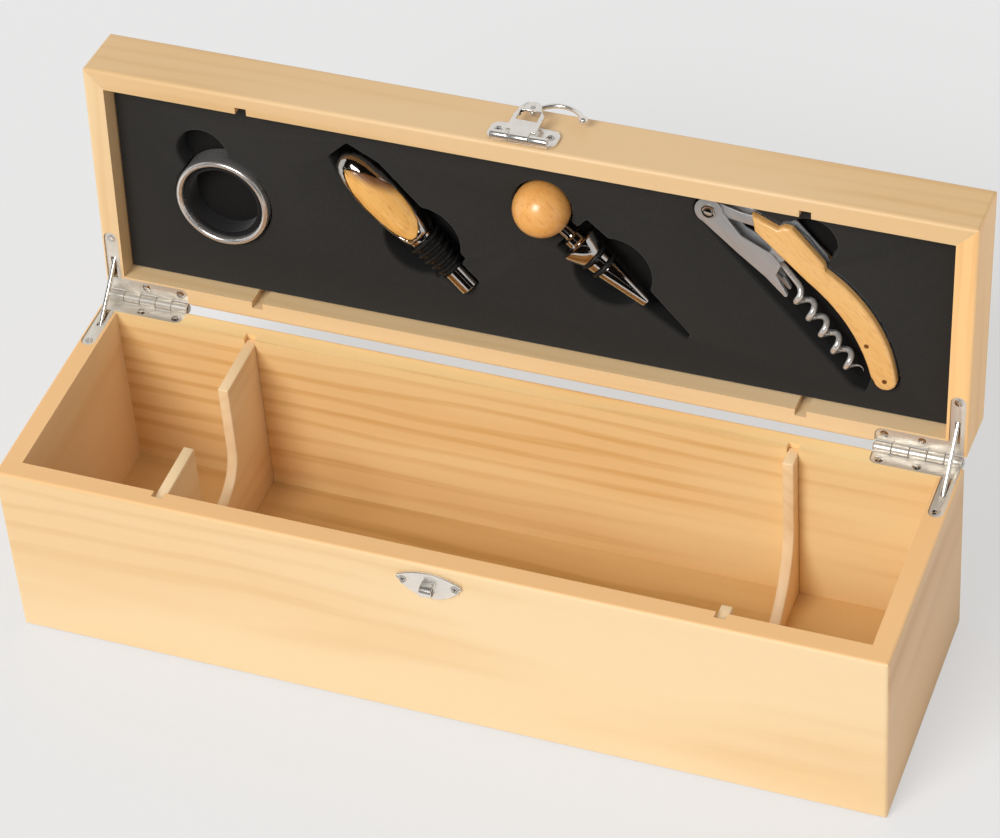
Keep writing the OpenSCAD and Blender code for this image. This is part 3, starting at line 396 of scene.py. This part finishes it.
# finish of every drawn piece, and of the piece that takes its place
FINISHES = {
    "base_front": pine_front, "base_back": pine_back, "base_left": pine_left,
    "base_right": pine_right, "base_floor": pine_floor, "neck_rest": pine_dividers,
    "bottle_rest": pine_dividers, "lid_front": pine_lid_front, "lid_back": pine_lid_back,
    "lid_left": pine_lid_left, "lid_right": pine_lid_right, "lid_top": pine_lid_top,
    "tool_board": foam, "base_leaf_left": nickel, "base_leaf_right": nickel,
    "lid_leaf_left": nickel, "lid_leaf_right": nickel, "hinge_pin_left": chrome,
    "hinge_pin_right": chrome, "base_hinge_screws": chrome, "lid_hinge_screws": chrome,
    "stay_left": latch_nickel, "stay_right": latch_nickel, "catch_plate": latch_nickel,
    "catch_screws": chrome, "latch_plate": latch_nickel, "latch_screws": chrome,
    "hasp_pin": chrome, "hasp": latch_nickel, "horn_rivet": chrome, "horn_hook": latch_nickel,
    "drip_ring": satin_chrome, "drip_ring_felt": felt, "pourer_spout": chrome,
    "pourer_inlay": beech_inlay, "pourer_plug": rubber, "pourer_tube": chrome,
    "stopper_ball": beech_ball, "stopper_stem": chrome, "stopper_seals": rubber,
    "corkscrew_frame": steel, "front_scale": beech_scales, "back_scale": beech_scales,
    "handle_pins": brass, "worm_pin": steel, "lever_rivet": chrome, "corkscrew_lever": steel,
    "corkscrew_worm": wire_steel, "foil_knife": steel,
}
for node, material in FINISHES.items():
    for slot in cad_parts[node].material_slots:
        slot.material = material

# ---------- shaping ----------

# points this close are one, in millimetres
MERGE_DISTANCE = 0.002
# edges sharper than this show as edges, in degrees
SMOOTH_ANGLE = 35


def in_edit(piece, *steps):
    """Runs edit-mode steps on the whole piece, each given as (operator, settings)."""
    bpy.ops.object.select_all(action="DESELECT")
    bpy.context.view_layer.objects.active = piece
    piece.select_set(True)
    bpy.ops.object.mode_set(mode="EDIT")
    bpy.ops.mesh.select_mode(type="VERT")
    bpy.ops.mesh.select_all(action="SELECT")
    for step, settings in steps:
        step(**settings)
    bpy.ops.object.mode_set(mode="OBJECT")
    return piece


def cleaned(piece):
    """Merges the points that meet and turns every face outwards."""
    return in_edit(
        piece, (bpy.ops.mesh.remove_doubles, {"threshold": MERGE_DISTANCE}),
        (bpy.ops.mesh.dissolve_degenerate, {"threshold": 0.001}),
        (bpy.ops.mesh.select_all, {"action": "SELECT"}),
        (bpy.ops.mesh.normals_make_consistent, {"inside": False}))


def loop_of(name, points, fill):
    """Closed loop through the given points."""
    bpy.ops.object.select_all(action="DESELECT")
    bpy.ops.mesh.primitive_circle_add(vertices=len(points), fill_type=fill)
    piece = bpy.context.active_object
    piece.name = name
    for vertex, point in zip(piece.data.vertices, points):
        vertex.co = point
    return piece


def lathe(name, profile, steps=64):
    """Turns a profile of (along, radius) points once round the X axis."""
    piece = loop_of(name, [(along, 0, radius) for along, radius in profile], "NOTHING")
    in_edit(piece, (bpy.ops.mesh.spin, {
        "steps": steps, "angle": 2 * pi, "center": (0, 0, 0), "axis": (1, 0, 0)}))
    return cleaned(piece)


def slab(name, outline, low, high):
    """Plate with the given outline, from one height to the other."""
    piece = loop_of(name, [(x, y, low) for x, y in outline], "NGON")
    in_edit(piece, (bpy.ops.mesh.extrude_region_move, {
        "TRANSFORM_OT_translate": {"value": (0, 0, high - low)}}))
    return cleaned(piece)


def sweep(name, path, radii, sides=16):
    """Round wire along a path, with a radius at each of its points."""
    path = [Vector(point) for point in path]
    last = len(path) - 1
    bpy.ops.object.select_all(action="DESELECT")
    bpy.ops.mesh.primitive_grid_add(x_subdivisions=sides, y_subdivisions=last)
    piece = bpy.context.active_object
    piece.name = name
    along = (path[1] - path[0]).normalized()
    side = along.orthogonal().normalized()
    for j, (point, radius) in enumerate(zip(path, radii)):
        along = (path[min(j + 1, last)] - path[max(j - 1, 0)]).normalized()
        side = (side - along * side.dot(along)).normalized()
        other = along.cross(side)
        for i in range(sides + 1):
            turn = 2 * pi * i / sides
            piece.data.vertices[j * (sides + 1) + i].co = point + radius * (
                cos(turn) * side + sin(turn) * other)
    return cleaned(piece)


def arc(centre, radius, start, end, steps):
    """Points on an arc, with its angles in degrees."""
    turns = [radians(start + (end - start) * i / steps) for i in range(steps + 1)]
    return [(centre[0] + radius * cos(a), centre[1] + radius * sin(a)) for a in turns]


def raised(points, height):
    """The same points at a height."""
    return [(x, y, height) for x, y in points]


def modify(piece, kind, **settings):
    """Adds a modifier and applies it."""
    bpy.ops.object.select_all(action="DESELECT")
    bpy.context.view_layer.objects.active = piece
    piece.select_set(True)
    modifier = piece.modifiers.new(kind.lower(), kind)
    for name, value in settings.items():
        setattr(modifier, name, value)
    bpy.ops.object.modifier_apply(modifier=modifier.name)
    return piece


def soften(piece, width, segments=2, angle=30):
    """Rounds every edge that is sharper than the angle."""
    return modify(piece, "BEVEL", width=width, segments=segments, limit_method="ANGLE",
                  angle_limit=radians(angle), use_clamp_overlap=False, miter_outer="MITER_ARC")


def combine(piece, other, operation):
    """Cuts the other piece away, or keeps only what lies in both."""
    modify(piece, "BOOLEAN", operation=operation, object=other, solver="EXACT")
    bpy.data.objects.remove(other)
    return piece


def joined(name, pieces):
    """One object of several pieces."""
    bpy.ops.object.select_all(action="DESELECT")
    for piece in pieces:
        piece.select_set(True)
    bpy.context.view_layer.objects.active = pieces[0]
    bpy.ops.object.join()
    pieces[0].name = name
    return pieces[0]


def put(piece, matrix):
    """Sets a piece in place and leaves its origin where it was."""
    bpy.ops.object.select_all(action="DESELECT")
    bpy.context.view_layer.objects.active = piece
    piece.select_set(True)
    piece.matrix_world = matrix @ piece.matrix_world
    bpy.ops.object.transform_apply(location=True, rotation=True, scale=True)
    return piece


def copy_of(piece, matrix):
    """Copy with its own mesh, set in place."""
    twin = piece.copy()
    twin.data = piece.data.copy()
    bpy.context.collection.objects.link(twin)
    return put(twin, matrix)


def finished(piece, body, node, place=UNMOVED):
    """Takes the place of a drawn node: in metres, with its finish, on its body."""
    put(piece, Matrix.Scale(MM, 4) @ place)
    in_edit(piece, (bpy.ops.mesh.normals_make_consistent, {"inside": False}))
    piece.data.materials.clear()
    piece.data.materials.append(FINISHES[node])
    bpy.ops.object.shade_smooth_by_angle(angle=radians(SMOOTH_ANGLE))
    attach(piece, body)
    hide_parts(node)
    return piece


def drawn(node):
    """Copy of a drawn piece in millimetres, with its flat faces whole again."""
    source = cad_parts[node]
    piece = source.copy()
    piece.data = source.data.copy()
    piece.name = node + "_eased"
    piece.parent = None
    bpy.context.collection.objects.link(piece)
    put(piece, Matrix.Scale(1 / MM, 4))
    return in_edit(
        piece, (bpy.ops.mesh.remove_doubles, {"threshold": MERGE_DISTANCE}),
        (bpy.ops.mesh.dissolve_limited, {"angle_limit": radians(0.6)}))


def eased(node, body, width, segments=2, angle=30):
    """A drawn piece with its edges rounded."""
    return finished(soften(drawn(node), width, segments, angle), body, node)


# ---------- box ----------

eased("neck_rest", "base", 0.5)
eased("bottle_rest", "base", 0.5)
eased("tool_board", "lid", 0.8, segments=3)

# ---------- screws, hinges and stays ----------


def screw(head_r, shank_r, length):
    """Countersunk screw with a domed head and a cross recess, its top at height 0."""
    tip_l = 1.2
    head_h = 1.2
    piece = put(lathe("screw", [
        (-length, 0), (-length + tip_l, shank_r), (-head_h, shank_r), (-0.4, head_r),
        (-0.25, head_r), (-0.08, head_r * 0.65), (0, head_r * 0.3), (0, 0)], steps=32), UPRIGHT)
    near = 0.2
    far = 0.62 * head_r
    cross = slab("recess", [
        (near, near), (near, far), (-near, far), (-near, near), (-far, near), (-far, -near),
        (-near, -near), (-near, -far), (near, -far), (near, -near), (far, -near),
        (far, near)], low=-0.6, high=1)
    return combine(piece, cross, "DIFFERENCE")


def screws(name, pattern, places, body, node):
    """The same screw at several places, each turned a little differently."""
    first_turn = 25
    next_turn = 47
    set_of = [copy_of(pattern, place @ turned_by(first_turn + next_turn * i, "Z"))
              for i, place in enumerate(places)]
    piece = finished(joined(name, set_of), body, node)
    return piece


# right hinge, from its axis: X along it, Y towards the back and Z up
KNUCKLES_START = 143.75
KNUCKLE_PITCH = 7
KNUCKLE_COUNT = 5
KNUCKLES_END = KNUCKLES_START + KNUCKLE_COUNT * KNUCKLE_PITCH
KNUCKLE_R = 2.3
LEAF_TOP = -0.7
LEAF_T = 0.95
ARM_X = 175.75
ARM_END = -28
LEAF_END_R = 3
# how far the leaf's edge is cut back for the other leaf's knuckles
CUT_BACK = -2.7
SCREW_SPOTS = [(ARM_X, ARM_END), (147.25, -6), (162.25, -6)]
SCREW_RISE = 0.25

hinge_screw = screw(head_r=1.75, shank_r=0.9, length=7.4)
for name, body, side in (("base", "base", AXIS), ("lid", "lid", LID_SIDE)):
    spots = [hand @ side @ moved(x, y, LEAF_TOP + SCREW_RISE)
             for hand in (UNMOVED, MIRROR) for x, y in SCREW_SPOTS]
    screws(name + "_cross_screws", hinge_screw, spots, body, name + "_hinge_screws")
bpy.data.objects.remove(hinge_screw)


def knuckle(start):
    """Rolled knuckle with eased ends."""
    end = start + KNUCKLE_PITCH - 0.2
    bore_r = 1.05
    ease = 0.25
    return lathe("knuckle", [
        (start, bore_r), (start, KNUCKLE_R - ease), (start + ease, KNUCKLE_R),
        (end - ease, KNUCKLE_R), (end, KNUCKLE_R - ease), (end, bore_r)], steps=32)


def sunk_leaf(name, knuckles):
    """Right hinge leaf let in a little below the rim: an L with rolled knuckles."""
    edge = []
    for i in range(KNUCKLE_COUNT):
        reach = 0 if i in knuckles else CUT_BACK
        start = KNUCKLES_START + i * KNUCKLE_PITCH
        edge += [(start, reach), (start + KNUCKLE_PITCH, reach)]
    arm_end = arc((ARM_X, ARM_END), LEAF_END_R, 0, -180, 16)
    inner_corner = [(ARM_X - LEAF_END_R, -9)]
    near_end = arc((KNUCKLES_START + LEAF_END_R, -6), LEAF_END_R, -90, -180, 8)
    plate = slab(name, edge + arm_end + inner_corner + near_end, LEAF_TOP - LEAF_T, LEAF_TOP)
    # slot in which the stay's end slides
    slot = slab("slot", [
        (ARM_X - 1, -8.5), (ARM_X + 1, -8.5), (ARM_X + 1, -18.7), (ARM_X - 1, -18.7)],
        low=-5, high=5)
    soften(combine(plate, slot, "DIFFERENCE"), 0.2, segments=2, angle=40)
    barrels = [knuckle(KNUCKLES_START + i * KNUCKLE_PITCH + 0.1) for i in knuckles]
    return joined(name, [plate] + barrels)


def hinge_pin():
    """Pin with a domed head at each end."""
    head = [(0, 1), (0, 1.7), (0.3, 1.5), (0.5, 0.9), (0.5, 0)]
    return lathe("hinge_pin", [(KNUCKLES_START - x, r) for x, r in reversed(head)]
                 + [(KNUCKLES_END + x, r) for x, r in head], steps=32)


for hand, name in ((UNMOVED, "right"), (MIRROR, "left")):
    for body, side, knuckles in (("base", AXIS, (0, 2, 4)), ("lid", LID_SIDE, (1, 3))):
        node = body + "_leaf_" + name
        leaf = finished(sunk_leaf(node + "_rolled", knuckles), body, node, hand @ side)
    pin = finished(hinge_pin(), "base", "hinge_pin_" + name, hand @ AXIS)
    eased("stay_" + name, name + "_stay", 0.25)

# ---------- latch ----------

eased("catch_plate", "base", 0.32, segments=3, angle=40)
eased("latch_plate", "lid", 0.32, segments=3, angle=40)
eased("hasp", "hasp", 0.25, segments=2, angle=40)

LATCH_SCREW_TOP = 1.25
latch_screw = screw(head_r=1.6, shank_r=0.8, length=6.6)
screws("catch_cross_screws", latch_screw,
       [FRONT @ moved(x, -10.6, LATCH_SCREW_TOP) for x in (-10.6, 10.6)], "base",
       "catch_screws")
screws("latch_cross_screws", latch_screw,
       [LATCH @ moved(x, 6, LATCH_SCREW_TOP) for x in (-10.5, 10.5)], "lid",
       "latch_screws")
bpy.data.objects.remove(latch_screw)


def horn_hook():
    """Cast hook: a tail that enters the staple, and a curved horn with a ball."""
    middle = 3.6
    boss = put(lathe("boss", [
        (2.5, 0), (2.5, 1.8), (2.7, 2), (4.3, 2), (4.6, 1.7), (4.6, 0)], steps=32), UPRIGHT)
    # the tail follows an arc about the rivet, then bends in to the boss
    tail_r = 5.4
    tail = [Vector(point) for point in raised(arc((0, 0), tail_r, 137, 228, 18), middle)]
    corner = Vector(raised(arc((0, 0), tail_r, 235, 235, 1), middle)[0])
    inner = Vector((0, 0, middle)).lerp(corner, 0.75)
    bend = [tail[-1].lerp(corner, t).lerp(corner.lerp(inner, t), t)
            for t in (0.25, 0.5, 0.75, 1)]
    tail_path = tail + bend + [Vector((0, 0, middle))]
    tail_radii = [0.05, 0.5, 0.72] + [0.8] * (len(tail_path) - 3)
    steps = 30
    horn = raised(arc((10, 5.333), 11.333, 214, 331, steps), middle)
    horn_radii = [1.05 - 0.12 * i / steps for i in range(steps + 1)]
    bpy.ops.object.select_all(action="DESELECT")
    bpy.ops.mesh.primitive_uv_sphere_add(
        segments=32, ring_count=16, radius=1.8, location=(20, 0, middle))
    ball = bpy.context.active_object
    return joined("cast_hook", [
        boss, sweep("tail", tail_path, tail_radii), sweep("horn", horn, horn_radii),
        put(ball, UNMOVED)])


finished(horn_hook(), "hook", "horn_hook", HOOK)
rivet = lathe("hook_rivet", [
    (1.4, 0), (1.4, 0.8), (4.65, 0.8), (4.65, 1.5), (4.85, 1.45), (5.1, 1), (5.15, 0)], steps=32)
finished(rivet, "hasp", "horn_rivet", HOOK @ UPRIGHT)

# ---------- drip ring ----------

rolled_rim = arc((9.2, 18.45), 1.3, 90, -90, 12)
ring = lathe("rolled_ring", [(0, 17.15), (0, 19.45), (0.3, 19.75)] + rolled_rim, steps=128)
finished(ring, "drip_ring", "drip_ring", RING)
lining = lathe("felt_lining", [
    (0, 14.8), (0, 17.08), (8.3, 17.08), (8.5, 16.7), (8.5, 15.4), (8.2, 14.8)], steps=96)
finished(lining, "drip_ring", "drip_ring_felt", RING)

# ---------- pourer ----------

# distance along the pourer, and radius or half width there
SPOUT = [(0, 0), (0.2, 1.8), (1, 3.6), (2.6, 5.4), (5, 6.9), (9, 8.2), (15, 9.1), (22, 9.3),
         (30, 8.9), (37, 8.1), (42, 7.3), (44.6, 6.6), (45.4, 5.9), (47, 5.8), (47, 0)]
MOUTH = [(4.6, 0), (7, 2.6), (11, 5), (16, 6.7), (22, 7.6), (28, 7.5), (34, 6.8), (39, 5.5),
         (42.4, 3.4), (43.8, 1.2)]


def mouth_outline(inset):
    """Outline of the spout's mouth, drawn in by the inset. Its tip hangs a little, and
    the lower side is the narrower one."""
    middle = 21
    half_length = 20
    hang_from = 20
    points = [(middle + (x - middle) * (1 - inset / half_length), y - inset * min(1, y / 3))
              for x, y in MOUTH]
    hang = [0.09 * max(0, hang_from - x) for x, y in points]
    upper = [(x, 1.07 * y - drop) for (x, y), drop in zip(points, hang)]
    lower = [(x, -0.84 * y - drop) for (x, y), drop in zip(points, hang)]
    return upper + lower[:0:-1]


def spout():
    """Turned spindle with a rounded nose, hollowed for the wooden inlay."""
    body = lathe("cast_spout", SPOUT, steps=96)
    mouth = slab("mouth", mouth_outline(0), low=2.6, high=20)
    return soften(combine(body, mouth, "DIFFERENCE"), 0.3, segments=3, angle=50)


def inlay():
    """Wood that fills the mouth and follows the spindle's back."""
    sunk = 0.35
    fill = lathe("carved_inlay", [(x, max(r - sunk, 0)) for x, r in SPOUT], steps=96)
    mouth = slab("mouth", mouth_outline(0.25), low=2.7, high=20)
    return soften(combine(fill, mouth, "INTERSECT"), 0.4, segments=3, angle=50)


def finned_plug():
    """Rubber stopper with five soft fins that taper towards the bottle."""
    start = 47.1
    end = 64.1
    bore_r = 4.55
    fin_r = 7.5
    fin_pitch = 3.4
    taper = 0.42
    # along one fin: the distance, and how far it lies below the fin's radius
    fin = [(0, 0.4), (0.3, 0), (1.1, 0.1), (1.9, 1.3), (3, 1.6)]
    outer = [(start + fin_pitch * i + step, fin_r - taper * i - drop) for i in range(5)
             for step, drop in fin]
    return lathe("finned_plug", [(start, bore_r)] + outer + [(end, 5.3), (end, bore_r)], steps=64)


finished(spout(), "pourer", "pourer_spout", ROLLED_POURER)
finished(inlay(), "pourer", "pourer_inlay", ROLLED_POURER)
finished(finned_plug(), "pourer", "pourer_plug", POURER)
tube = lathe("pouring_tube", [
    (42.1, 3.3), (42.1, 4.5), (73.8, 4.5), (74.05, 4.3), (74.05, 3.5), (73.8, 3.3)], steps=48)
finished(tube, "pourer", "pourer_tube", POURER)

# ---------- bottle stopper ----------

# the ball has a flat end with a bore for the stem
BALL_R = 11.5
STEM_R = 2.6
shell = arc((0, 0), BALL_R, 180, 16, 41)
ball = lathe("turned_ball", shell + [(11.18, 2.7), (5.9, 2.7), (5.9, 0)], steps=96)
finished(ball, "stopper", "stopper_ball", STOPPER)
stem = lathe("turned_stem", [
    (6.1, 0), (6.1, STEM_R), (14.6, STEM_R), (15.4, 2.9), (16, 4.1), (18.4, 4.3), (19, 5),
    (19, 8.1), (19.3, 8.6), (20, 8.7), (26.2, 6.6), (26.6, 6.3), (26.6, 4.7), (28.6, 4.7),
    (28.6, 5.6), (28.9, 5.8), (31.6, 5.5), (31.9, 5.2), (31.9, 4.7), (33.9, 4.7), (33.9, 5),
    (34.3, 5.2), (54.1, 2.3), (54.8, 2), (55, 1.6), (55, 0)], steps=96)
finished(stem, "stopper", "stopper_stem", STOPPER)


def seal(along):
    """Round rubber seal in a groove of the stem."""
    bpy.ops.object.select_all(action="DESELECT")
    bpy.ops.mesh.primitive_torus_add(
        major_radius=5.65, minor_radius=0.9, major_segments=64, minor_segments=16,
        rotation=(0, radians(90), 0), location=(along, 0, 0))
    return bpy.context.active_object


seals = put(joined("round_seals", [seal(27.6), seal(32.9)]), UNMOVED)
finished(seals, "stopper", "stopper_seals", STOPPER)

# ---------- corkscrew ----------

# inner and outer side of the front handle scale, from the corkscrew's middle
SCALE_IN = 2.5
SCALE_OUT = 5.8


def handle_outline(shoulder):
    """Outline of a handle scale, with the given points along its shoulder."""
    outer = arc((60, -42), 62.3, 103, 55, 16)
    end = arc((95.7, 3.5), 4.6, 45, -120, 11)
    inner = arc((55, -60), 70, 59, 98, 13)
    return [(17, 8), (11, 12.3), (21.5, 16.3)] + shoulder + outer + end + inner


def handle_scale(name, shoulder, low, high, shown):
    """Wooden scale with a well rounded shown side."""
    piece = slab(name, handle_outline(shoulder), low, high)

    def on_shown(corners):
        return all(abs(piece.data.vertices[v].co.z - shown) < 0.01 for v in corners)

    for polygon in piece.data.polygons:
        polygon.select = on_shown(polygon.vertices)
    for edge in piece.data.edges:
        edge.select = on_shown(edge.vertices)
    for vertex in piece.data.vertices:
        vertex.select = on_shown([vertex.index])
    bpy.ops.object.select_all(action="DESELECT")
    bpy.context.view_layer.objects.active = piece
    piece.select_set(True)
    bpy.ops.object.mode_set(mode="EDIT")
    bpy.ops.mesh.select_mode(type="EDGE")
    bpy.ops.mesh.bevel(offset=1.4, segments=5, affect="EDGES", clamp_overlap=False)
    bpy.ops.object.mode_set(mode="OBJECT")
    return piece


front = handle_scale("front_wood_scale", [(22, 19), (24.5, 21), (43, 20.4)],
                     SCALE_IN, SCALE_OUT, SCALE_OUT)
back = handle_scale("back_wood_scale", [(32, 18.3)], -SCALE_OUT, -SCALE_IN, -SCALE_OUT)
finished(front, "corkscrew", "front_scale", CORKSCREW)
finished(back, "corkscrew", "back_scale", CORKSCREW)
eased("corkscrew_frame", "corkscrew", 0.2, segments=2, angle=40)
eased("corkscrew_lever", "lever", 0.35, segments=3, angle=40)
eased("foil_knife", "knife", 0.15, segments=1, angle=40)


def ringed_rivet():
    """Rivet whose heads have a raised ring round a button."""
    head = [(3.65, 3), (3.9, 3), (4.15, 2.8), (4.2, 2.4), (4.1, 2), (3.9, 1.9), (3.9, 1.7),
            (4.15, 1.5), (4.2, 1), (4.2, 0)]
    other = [(-x, r) for x, r in reversed(head)]
    return lathe("ringed_rivet", other + [(-3.65, 1.5), (3.65, 1.5)] + head, steps=48)


finished(ringed_rivet(), "corkscrew", "lever_rivet", LEVER @ UPRIGHT)


def worm():
    """Eye, straight shank and right-handed helix that ends in a point."""
    turns = 5
    pitch = 8.4
    start = 17.3
    level = -1.9
    helix_r = 2.6
    wire_r = 1.2
    # the shank joins the helix a little into its first turn
    joint = 0.14
    steps = 150

    def helix(t):
        a = radians(90 - 360 * t)
        return Vector((start + pitch * t, level + helix_r * sin(a), helix_r * cos(a)))

    into = [Vector((14.4, 0.6, 0)), Vector((17.2, 0.7, 0)), helix(joint)]
    bend = [into[0].lerp(into[1], t).lerp(into[1].lerp(into[2], t), t)
            for t in (0, 0.17, 0.33, 0.5, 0.67, 0.83)]
    shank = [Vector((1.6, 0.1, 0)), Vector((8, 0.35, 0))] + bend
    places = [joint + (turns - joint) * i / steps for i in range(steps + 1)]
    # the wire thins to its point over most of the last turn
    radii = [wire_r * min(1, 0.06 + 1.15 * (turns - t)) for t in places]
    strand = sweep("wire", shank + [helix(t) for t in places],
                   [wire_r] * len(shank) + radii, sides=20)
    eye = put(lathe("eye", [(-1.35, 1.05), (-1.35, 2.3), (-1.05, 2.6), (1.05, 2.6),
                            (1.35, 2.3), (1.35, 1.05)], steps=32), UPRIGHT)
    return joined("wire_worm", [strand, eye])


finished(worm(), "worm", "corkscrew_worm", WORM)

# ---------- studio ----------

# middle, size and lean from level of each card, in metres and degrees: a level one low in
# front, an upright one, one that leans above it, past a slit, and a level one overhead
CARDS = [
    ((0.02, -0.28, 0.118), (0.5, 0.52), 0), ((0.1, -0.56, 0.22), (2.6, 0.34), 90),
    ((0.2, -0.62, 0.95), (2.8, 0.98), 80), ((0.2, -0.15, 1.44), (2.8, 0.95), 0)]


def studio_floor():
    """Pale matt paper that keeps the object's shadow."""
    bpy.ops.object.select_all(action="DESELECT")
    bpy.ops.mesh.primitive_plane_add(size=12, location=(0, 0, -0.0002))
    floor = bpy.context.active_object
    floor.name = "studio_floor"
    material, tree, shader = new_material("pale_studio_paper", {
        "Base Color": linear("#EEEEEE"), "Roughness": 1.0, "Specular IOR Level": 0.0})
    # the camera sees a part of it as glowing paper, which evens the background
    glow = add_node(tree, "ShaderNodeEmission", {}, {"Color": linear("#E6E6E6")})
    path = add_node(tree, "ShaderNodeLightPath", {}, {})
    part = add_node(tree, "ShaderNodeMath", {"operation": "MULTIPLY"}, {
        0: path.outputs["Is Camera Ray"], 1: 0.6})
    even = add_node(tree, "ShaderNodeMixShader", {}, {
        0: part.outputs["Value"], 1: shader.outputs["BSDF"], 2: glow.outputs["Emission"]})
    output = next(node for node in tree.nodes if node.type == "OUTPUT_MATERIAL")
    tree.links.new(even.outputs["Shader"], output.inputs["Surface"])
    floor.data.materials.append(material)


def dark_cards():
    """Dark cards that only mirrors see, so that the plating shows dark, with bright
    streaks from the slit between two of them."""
    material, tree, shader = new_material("dark_card_paper", {
        "Base Color": linear("#1A1511"), "Roughness": 1.0, "Specular IOR Level": 0.0})
    for i, (middle, size, lean) in enumerate(CARDS):
        bpy.ops.object.select_all(action="DESELECT")
        bpy.ops.mesh.primitive_plane_add(
            size=1, location=middle, rotation=(radians(lean), 0, 0))
        card = bpy.context.active_object
        card.name = f"dark_card_{i}"
        card.scale = (*size, 1)
        card.data.materials.append(material)
        card.visible_camera = False
        card.visible_diffuse = False
        card.visible_transmission = False
        card.visible_shadow = False


def studio_light():
    """A wide soft key from the front left, and a softbox that only shines in gloss and
    varnish."""
    bpy.ops.object.light_add(type="SUN", rotation=(radians(50), 0, radians(-20)))
    key = bpy.context.active_object
    key.name = "key_light"
    key.data.energy = 2.03
    key.data.angle = radians(28)
    key.visible_glossy = False
    bpy.ops.object.light_add(type="AREA", location=(-0.1, -0.6, 0.69))
    softbox = bpy.context.active_object
    softbox.name = "softbox"
    tools = Vector((0, 0.07, 0.16))
    aim = tools - softbox.location
    softbox.rotation_euler = aim.to_track_quat("-Z", "Y").to_euler()
    softbox.data.size = 0.34
    softbox.data.energy = 4.5
    softbox.visible_diffuse = False


def studio_world():
    """Even white fill, which the camera and mirrors see as pale grey."""
    world = bpy.data.worlds.new("studio")
    bpy.context.scene.world = world
    world.use_nodes = True
    tree = world.node_tree
    tree.nodes.clear()
    path = add_node(tree, "ShaderNodeLightPath", {}, {})
    seen = add_node(tree, "ShaderNodeMath", {"operation": "MAXIMUM"}, {
        0: path.outputs["Is Camera Ray"], 1: path.outputs["Is Glossy Ray"]})
    shown = add_node(tree, "ShaderNodeMath", {"operation": "MAXIMUM"}, {
        0: seen.outputs["Value"], 1: path.outputs["Is Transmission Ray"]})
    fill = add_node(tree, "ShaderNodeBackground", {}, {"Color": (1, 1, 1, 1), "Strength": 0.55})
    backdrop = add_node(tree, "ShaderNodeBackground", {}, {
        "Color": linear("#E6E6E6"), "Strength": 1.0})
    either = add_node(tree, "ShaderNodeMixShader", {}, {
        0: shown.outputs["Value"], 1: fill.outputs["Background"],
        2: backdrop.outputs["Background"]})
    add_node(tree, "ShaderNodeOutputWorld", {}, {"Surface": either.outputs["Shader"]})


def studio_camera():
    """Camera of the photograph: 138 mm on a 36 mm frame, a metre and a half away. Its
    place and turn were solved from the box's corners."""
    bpy.ops.object.camera_add()
    camera = bpy.context.active_object
    camera.name = "camera"
    camera.data.sensor_width = 36
    camera.data.lens = 138.095
    place = (0.4256586, -0.9746344, 1.111903)
    right = Vector((0.93961899, 0.33690669, -0.06008349))
    up = Vector((-0.19065384, 0.66113519, 0.7256386))
    turn = Matrix((right, up, right.cross(up))).transposed()
    camera.matrix_world = Matrix.Translation(place) @ turn.to_4x4()
    bpy.context.scene.camera = camera


studio_floor()
dark_cards()
studio_light()
studio_world()
studio_camera()
bpy.context.scene.view_settings.view_transform = "Standard"
